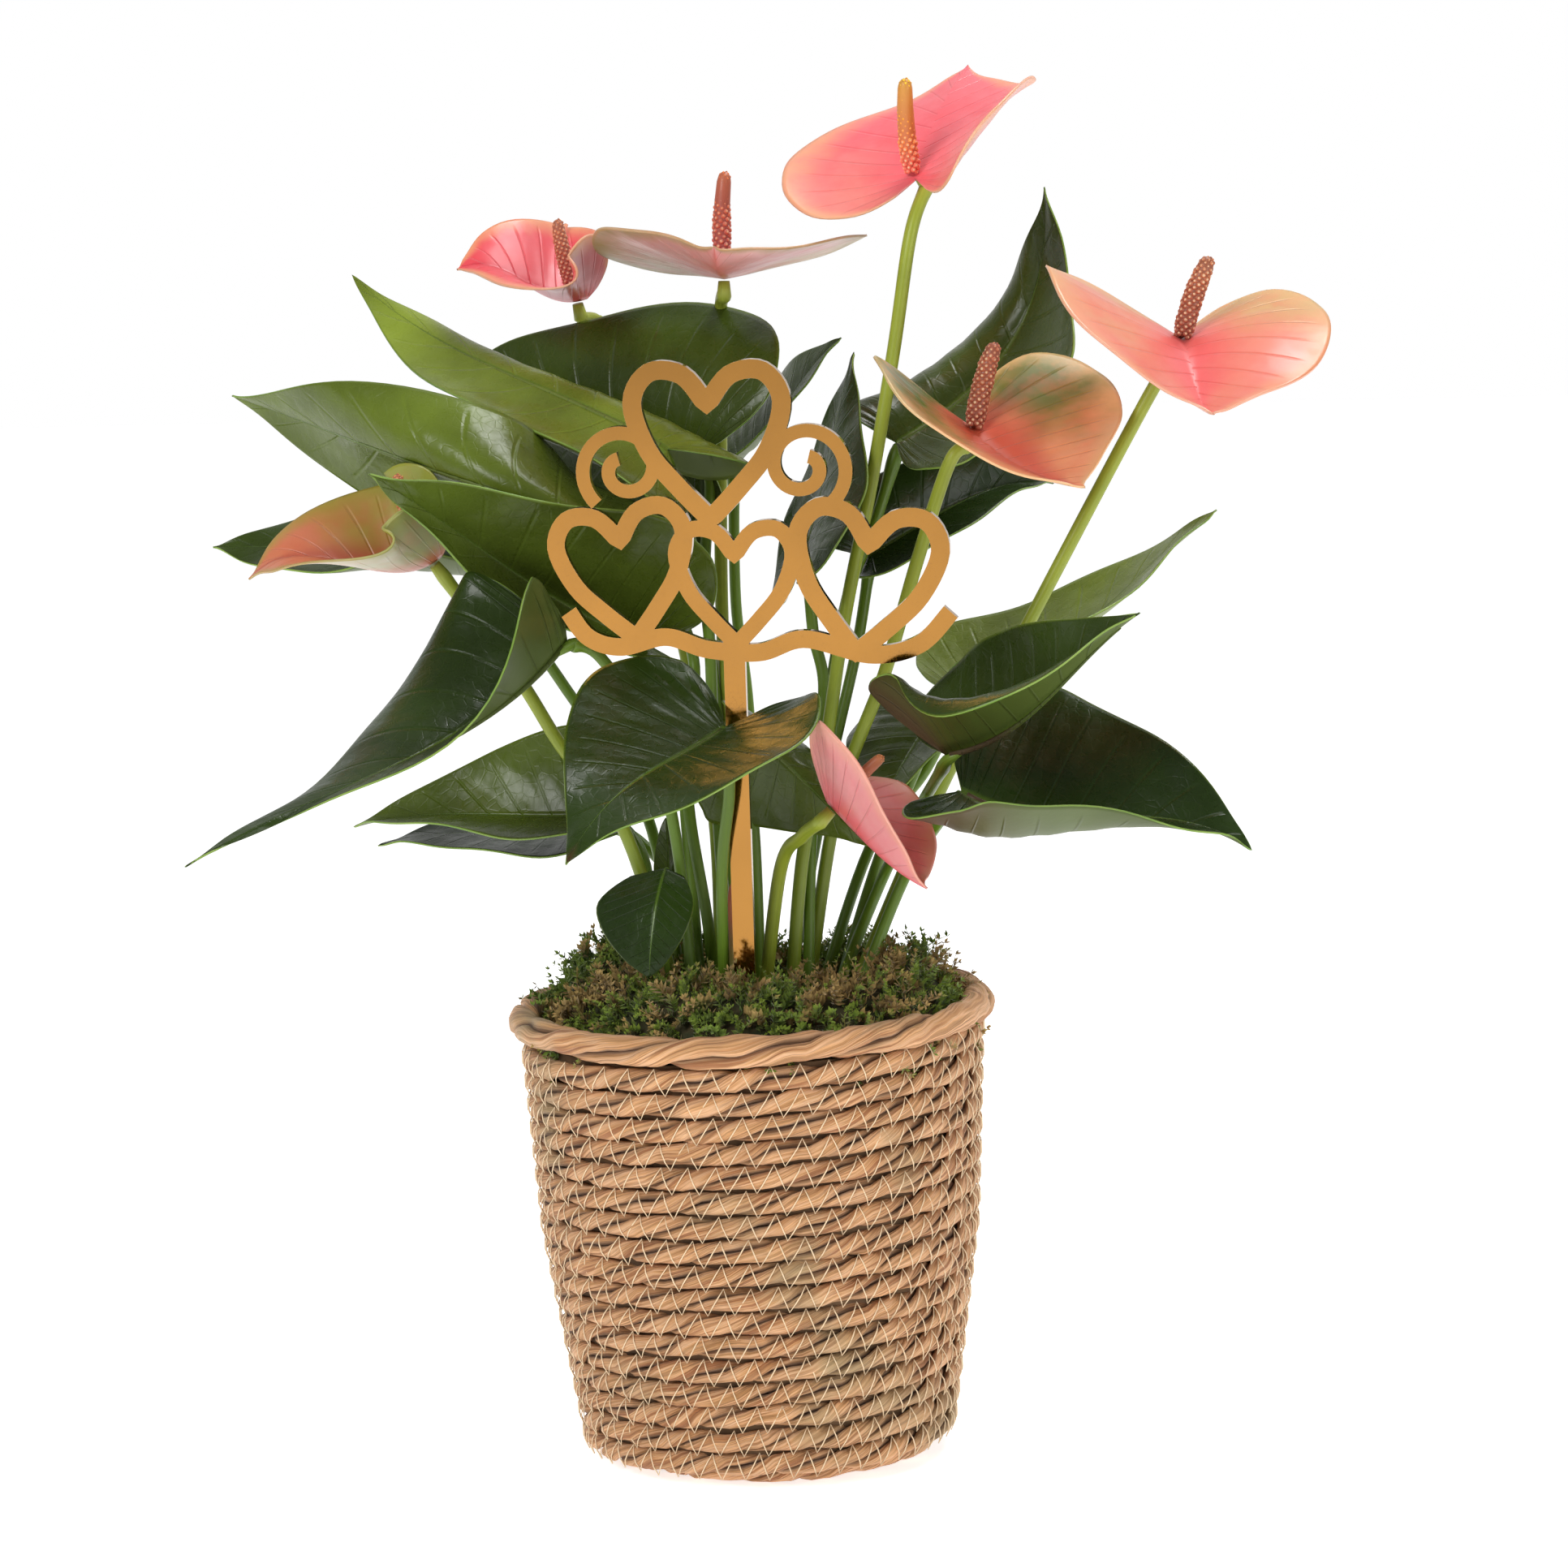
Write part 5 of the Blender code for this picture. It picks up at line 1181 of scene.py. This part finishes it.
def makeSpadix(number, spec, seat, up, fold):
    # A core with rows of beads on it, standing on the spathe's midrib.
    girth = spec["girth"]
    centre = seat + up * (girth * 0.8 + stalkLook["seat"]) / math.cos(fold)
    top = np.array(spec["spadix"], dtype=float)
    axis = unit(top - centre)
    foot = centre - axis * girth * 0.75
    bend = np.cross(axis, (0, 1, 0)) * np.linalg.norm(top - centre) * 0.03
    spine = np.array([foot + (top - foot) * t + bend * 4 * t * (1 - t) for t, _ in spadixProfile])
    knobMaterial = spadixMaterial("spadix" + number, spec["knob"], spec["smooth"])
    points, faces, uv = tubeArrays(spine, girth * 0.92 * spadixProfile[:, 1], 20)
    # The core's tip of -0.5 gives it the full painted shade of the gaps between the beads.
    core = meshObject("spadixCore" + number, points * mm, faces, [knobMaterial], uv=uv,
                      attributes=dict(share=uv[:, 0], tip=np.full(len(uv), -0.5)))
    sideways = unit(np.cross(axis, (0.0, 1.0, 0.0)))
    forward = np.cross(axis, sideways)
    beads = grow("spadixBeads" + number, knobTree(knobMaterial), knobMaterial, count=knobs["count"],
                 size=knobs["size"] * girth / 3 * mm, seed=int(number), girth=girth * 0.78 * mm,
                 smooth=spec["smooth"], foot=tuple(foot * mm), reach=tuple((top - foot) * mm),
                 bend=tuple(bend * mm), sideways=tuple(sideways), forward=tuple(forward))
    for obj in (core, beads):
        finishPiece(obj, ["bloom_" + number + "_spadix"])


spadixProfile = np.array([(0, 0.45), (0.05, 0.8), (0.15, 0.98), (0.4, 1), (0.7, 0.93), (0.9, 0.84),
                          (0.96, 0.7), (0.99, 0.42), (1, 0.15)])

for number, spec in blooms.items():
    blade = Blade(spec, spatheEdge, spatheWidest)
    made = spatheMaterials("spathe" + number, spec)
    piece = bladeMesh("spathe" + number, blade, spatheLook, made, float(number) + 0.5)
    finishPiece(piece, ["bloom_" + number + "_spathe"])
    seat = blade.midrib(np.array([3 / blade.length]))[0][0]
    up = blade.up(0.05)
    makePeduncle(number, spec, seat - up * stalkLook["seat"], up)
    makeSpadix(number, spec, seat, up, max(abs(angle) for angle in blade.fold))
print("blooms ready")

# Shoot: a young leaf still rolled up
path = np.array([(-9.5, -9.5, soilHole), (-9.5, -9.5, 135), (-9.1, -9.9, 150), (-8.6, -10.4, 163),
                 (-8.3, -10.7, 174), (-8, -11, 183)])
smooth = smoothAt(path, np.linspace(0, 5, 51))
share = np.linspace(0, 1, 51)
girth = 1.7 * np.interp(share, (0, 0.72, 0.8, 0.86, 0.94, 1), (1, 1, 1.12, 0.85, 0.62, 0.1))
points, faces, uv = tubeArrays(smooth, girth, 16)
shoot = meshObject("shootRolled", points * mm, faces, [shootMaterial()], uv=uv)
finishPiece(shoot, ["shoot"])

# Basket: coils of two-ply rope, held by zigzag stitches
ropeLook, threadLook = ropeMaterial(), threadMaterial()
coils = ropeTree(ropeLook)
seams = stitchTree(threadLook)
outer = rope["ply"] + rope["twist"]
lowLaps, topLaps = 9, 8
low, middle, top = ((basket[key][0] - outer, basket[key][1]) for key in ("low", "middle", "top"))
stretches = (("ropeFloor", 6.7, (3.5, 4.6), (basket["foot"] - 0.5, 4.6)),
             ("ropeLower", lowLaps, low, middle),
             ("ropeUpper", topLaps, middle, top))
for number, (name, laps, first, last) in enumerate(stretches):
    common = dict(laps=float(laps), start=math.pi / 2, radiusLow=first[0] * mm, radiusHigh=last[0] * mm,
                  heightLow=first[1] * mm, heightHigh=last[1] * mm)
    steps = int(laps * rope["turnsPerLap"] * rope["steps"])
    coil = grow(name, coils, ropeLook, steps=steps, ply=rope["ply"] * mm, twist=rope["twist"] * mm,
                flat=rope["flat"], perLap=rope["turnsPerLap"], seed=number, **common)
    finishPiece(coil, ["basket"])
    if number:
        seam = grow(name.replace("rope", "stitches"), seams, threadLook, perLap=float(stitch["perLap"]),
                    reach=stitch["reach"] * mm, slant=stitch["slant"], thread=stitch["thread"] * mm,
                    crest=(outer + 0.1) * mm, groove=(outer - stitch["sink"]) * mm, **common)
        finishPiece(seam, ["basket"])
rimOuter = rope["rimPly"] + rope["rimTwist"]
rimRadius, rimHeight = (basket["rimRadius"] - rimOuter) * mm, (basket["height"] - rimOuter) * mm
rim = grow("ropeRim", coils, ropeLook, laps=1.02, start=math.pi / 2, radiusLow=rimRadius,
           radiusHigh=rimRadius, heightLow=rimHeight, heightHigh=rimHeight, ply=rope["rimPly"] * mm,
           twist=rope["rimTwist"] * mm, flat=rope["flat"], perLap=float(rope["rimTurns"]),
           steps=int(rope["rimTurns"] * rope["rimSteps"]), seed=9)
finishPiece(rim, ["basket"])
# A dark skin behind the ropes, as the rope is solid inside; its dark brown is painted shade seen through the
# gaps between the rows
skin = [(2, 4.4), (50, 4.4), (55.7, 8), (64.7, 73), (68, 135), (66, 135), (62.8, 73), (53.9, 9.5),
        (49, 6.2), (2, 6.2)]
skinShade = plainMaterial("skinShade", (0.10, 0.055, 0.025), (0.20, 0.12, 0.06), 0.8, 90, 0.4)
skin = turned("basketSkin", skin, 72, skinShade, basketPoint)
finishPiece(skin, ["basket"])
print("basket ready")

# Moss: a dark mat and feathery sprigs growing out of it
mossGreen = mossMaterial()
section = [(39.5, 126), (38.5, 142), (44, 151), (53, 149), (59.5, 142.5), (62.5, 136), (62.8, 126)]
mossDark = plainMaterial("mossDark", (0.018, 0.030, 0.006), (0.07, 0.05, 0.02), 0.9, 110, 1.2)
matPiece = turned("mossMat", section, 88, mossDark, matPoint)
carrier = turned("mossCarrier", section[1:-1] + [(62.8, 131)], 88, None, matPoint, closed=False)
sprigs = bpy.data.collections.new("sprigs")
random = np.random.default_rng(7)
for number in range(sprigLook["kinds"]):
    sprigObject(number, sprigs, mossGreen, random)
ground = carrier.data
bpy.data.objects.remove(carrier)
mossPiece = grow("mossSprigs", scatterTree(sprigs, mossGreen), mossGreen, mesh=ground,
                 density=float(sprigLook["density"]), seed=11)
for obj in list(sprigs.objects):
    bpy.data.objects.remove(obj)
for obj in (matPiece, mossPiece):
    finishPiece(obj, ["moss"])
print("moss ready")

# Pick
pick = pickObject()
finishPiece(pick, ["pick"])
print("pick ready")

# The pieces carried over from the construction
linerFilm = plainMaterial("linerFilm", (0.62, 0.62, 0.60), (0.72, 0.72, 0.70), 0.22, 30, 0.3,
                          Transmission_Weight=0.6)
potBrown = plainMaterial("potBrown", (0.15, 0.065, 0.035), (0.20, 0.09, 0.05), 0.45, 60, 0.15)
peatDark = plainMaterial("peatDark", (0.018, 0.011, 0.007), (0.075, 0.045, 0.028), 0.95, 320, 1.5)
for node, material, slot in (("liner", linerFilm, "clear_film"), ("grow_pot", potBrown, "pot_plastic"),
                             ("soil", peatDark, "peat")):
    data = frame["nodes"][node].data
    data.materials.clear()
    data.materials.append(material)

# Studio, in metres but for the camera's place
camera = dict(place=(8.8, -1428, 387.5), pitch=7.0, roll=1.2, lens=105)
lights = dict(world=dict(front=0.22, back=0.75), floor=0.69,
              key=dict(place=(-0.9, -1.25, 1.15), aim=(0, 0, 0.2), size=0.7, power=17),
              fill=dict(place=(1.3, -1.2, 0.5), aim=(0, 0, 0.15), size=1.0, power=9),
              top=dict(place=(0.45, 0.25, 1.35), aim=(0, 0, 0.3), size=0.5, power=9))
floorMesh = bpy.data.meshes.new("floorSheet")
floorMesh.from_pydata([(-8, -8, 0), (8, -8, 0), (8, 8, 0), (-8, 8, 0)], [], [(0, 1, 2, 3)])
floor = newObject("floorSheet", floorMesh)
floorPale = plainMaterial("floorPale", (0.86, 0.86, 0.86), (0.88, 0.88, 0.88), 0.8, 3, 0.01)
floorShader = floorPale.node_tree.nodes["Principled BSDF"]
floorShader.inputs["Emission Color"].default_value = (1, 1, 1, 1)
floorShader.inputs["Emission Strength"].default_value = lights["floor"]
floorMesh.materials.append(floorPale)
world = bpy.data.worlds.new("studio")
bpy.context.scene.world = world
world.use_nodes = True
sky = Graph(world.node_tree)
toward = sky.parts(sky.add("ShaderNodeTexCoord").outputs["Generated"])[1]
glow = sky.ease(toward, -0.2, 0.9, lights["world"]["front"], lights["world"]["back"])
seen = sky.add("ShaderNodeLightPath").outputs["Is Camera Ray"]
background = world.node_tree.nodes["Background"]
background.inputs[0].default_value = (1, 1, 1, 1)
sky.put(background.inputs[1], sky.math("MAXIMUM", glow, seen))
for name in ("key", "fill", "top"):
    spec = lights[name]
    data = bpy.data.lights.new(name, "AREA")
    data.size = spec["size"]
    data.energy = spec["power"]
    lamp = newObject(name, data)
    lamp.location = spec["place"]
    aim = Vector(spec["aim"]) - Vector(spec["place"])
    lamp.rotation_euler = aim.to_track_quat("-Z", "Y").to_euler()

view = bpy.data.cameras.new("camera")
view.lens = camera["lens"]
view.sensor_width = 36
view.clip_start, view.clip_end = 0.05, 40
viewer = newObject("camera", view)
pitch, roll = math.radians(camera["pitch"]), math.radians(camera["roll"])
ahead = Vector((0, math.cos(pitch), -math.sin(pitch)))
right = Vector((1, 0, 0))
upward = right.cross(ahead)
tiltedRight = right * math.cos(roll) - upward * math.sin(roll)
tiltedUp = upward * math.cos(roll) + right * math.sin(roll)
viewer.matrix_world = Matrix.Translation(Vector(camera["place"]) * mm) @ Matrix((
    (tiltedRight.x, tiltedUp.x, -ahead.x, 0), (tiltedRight.y, tiltedUp.y, -ahead.y, 0),
    (tiltedRight.z, tiltedUp.z, -ahead.z, 0), (0, 0, 0, 1)))
bpy.context.scene.camera = viewer
bpy.context.scene.view_settings.view_transform = "Standard"
print("studio ready")
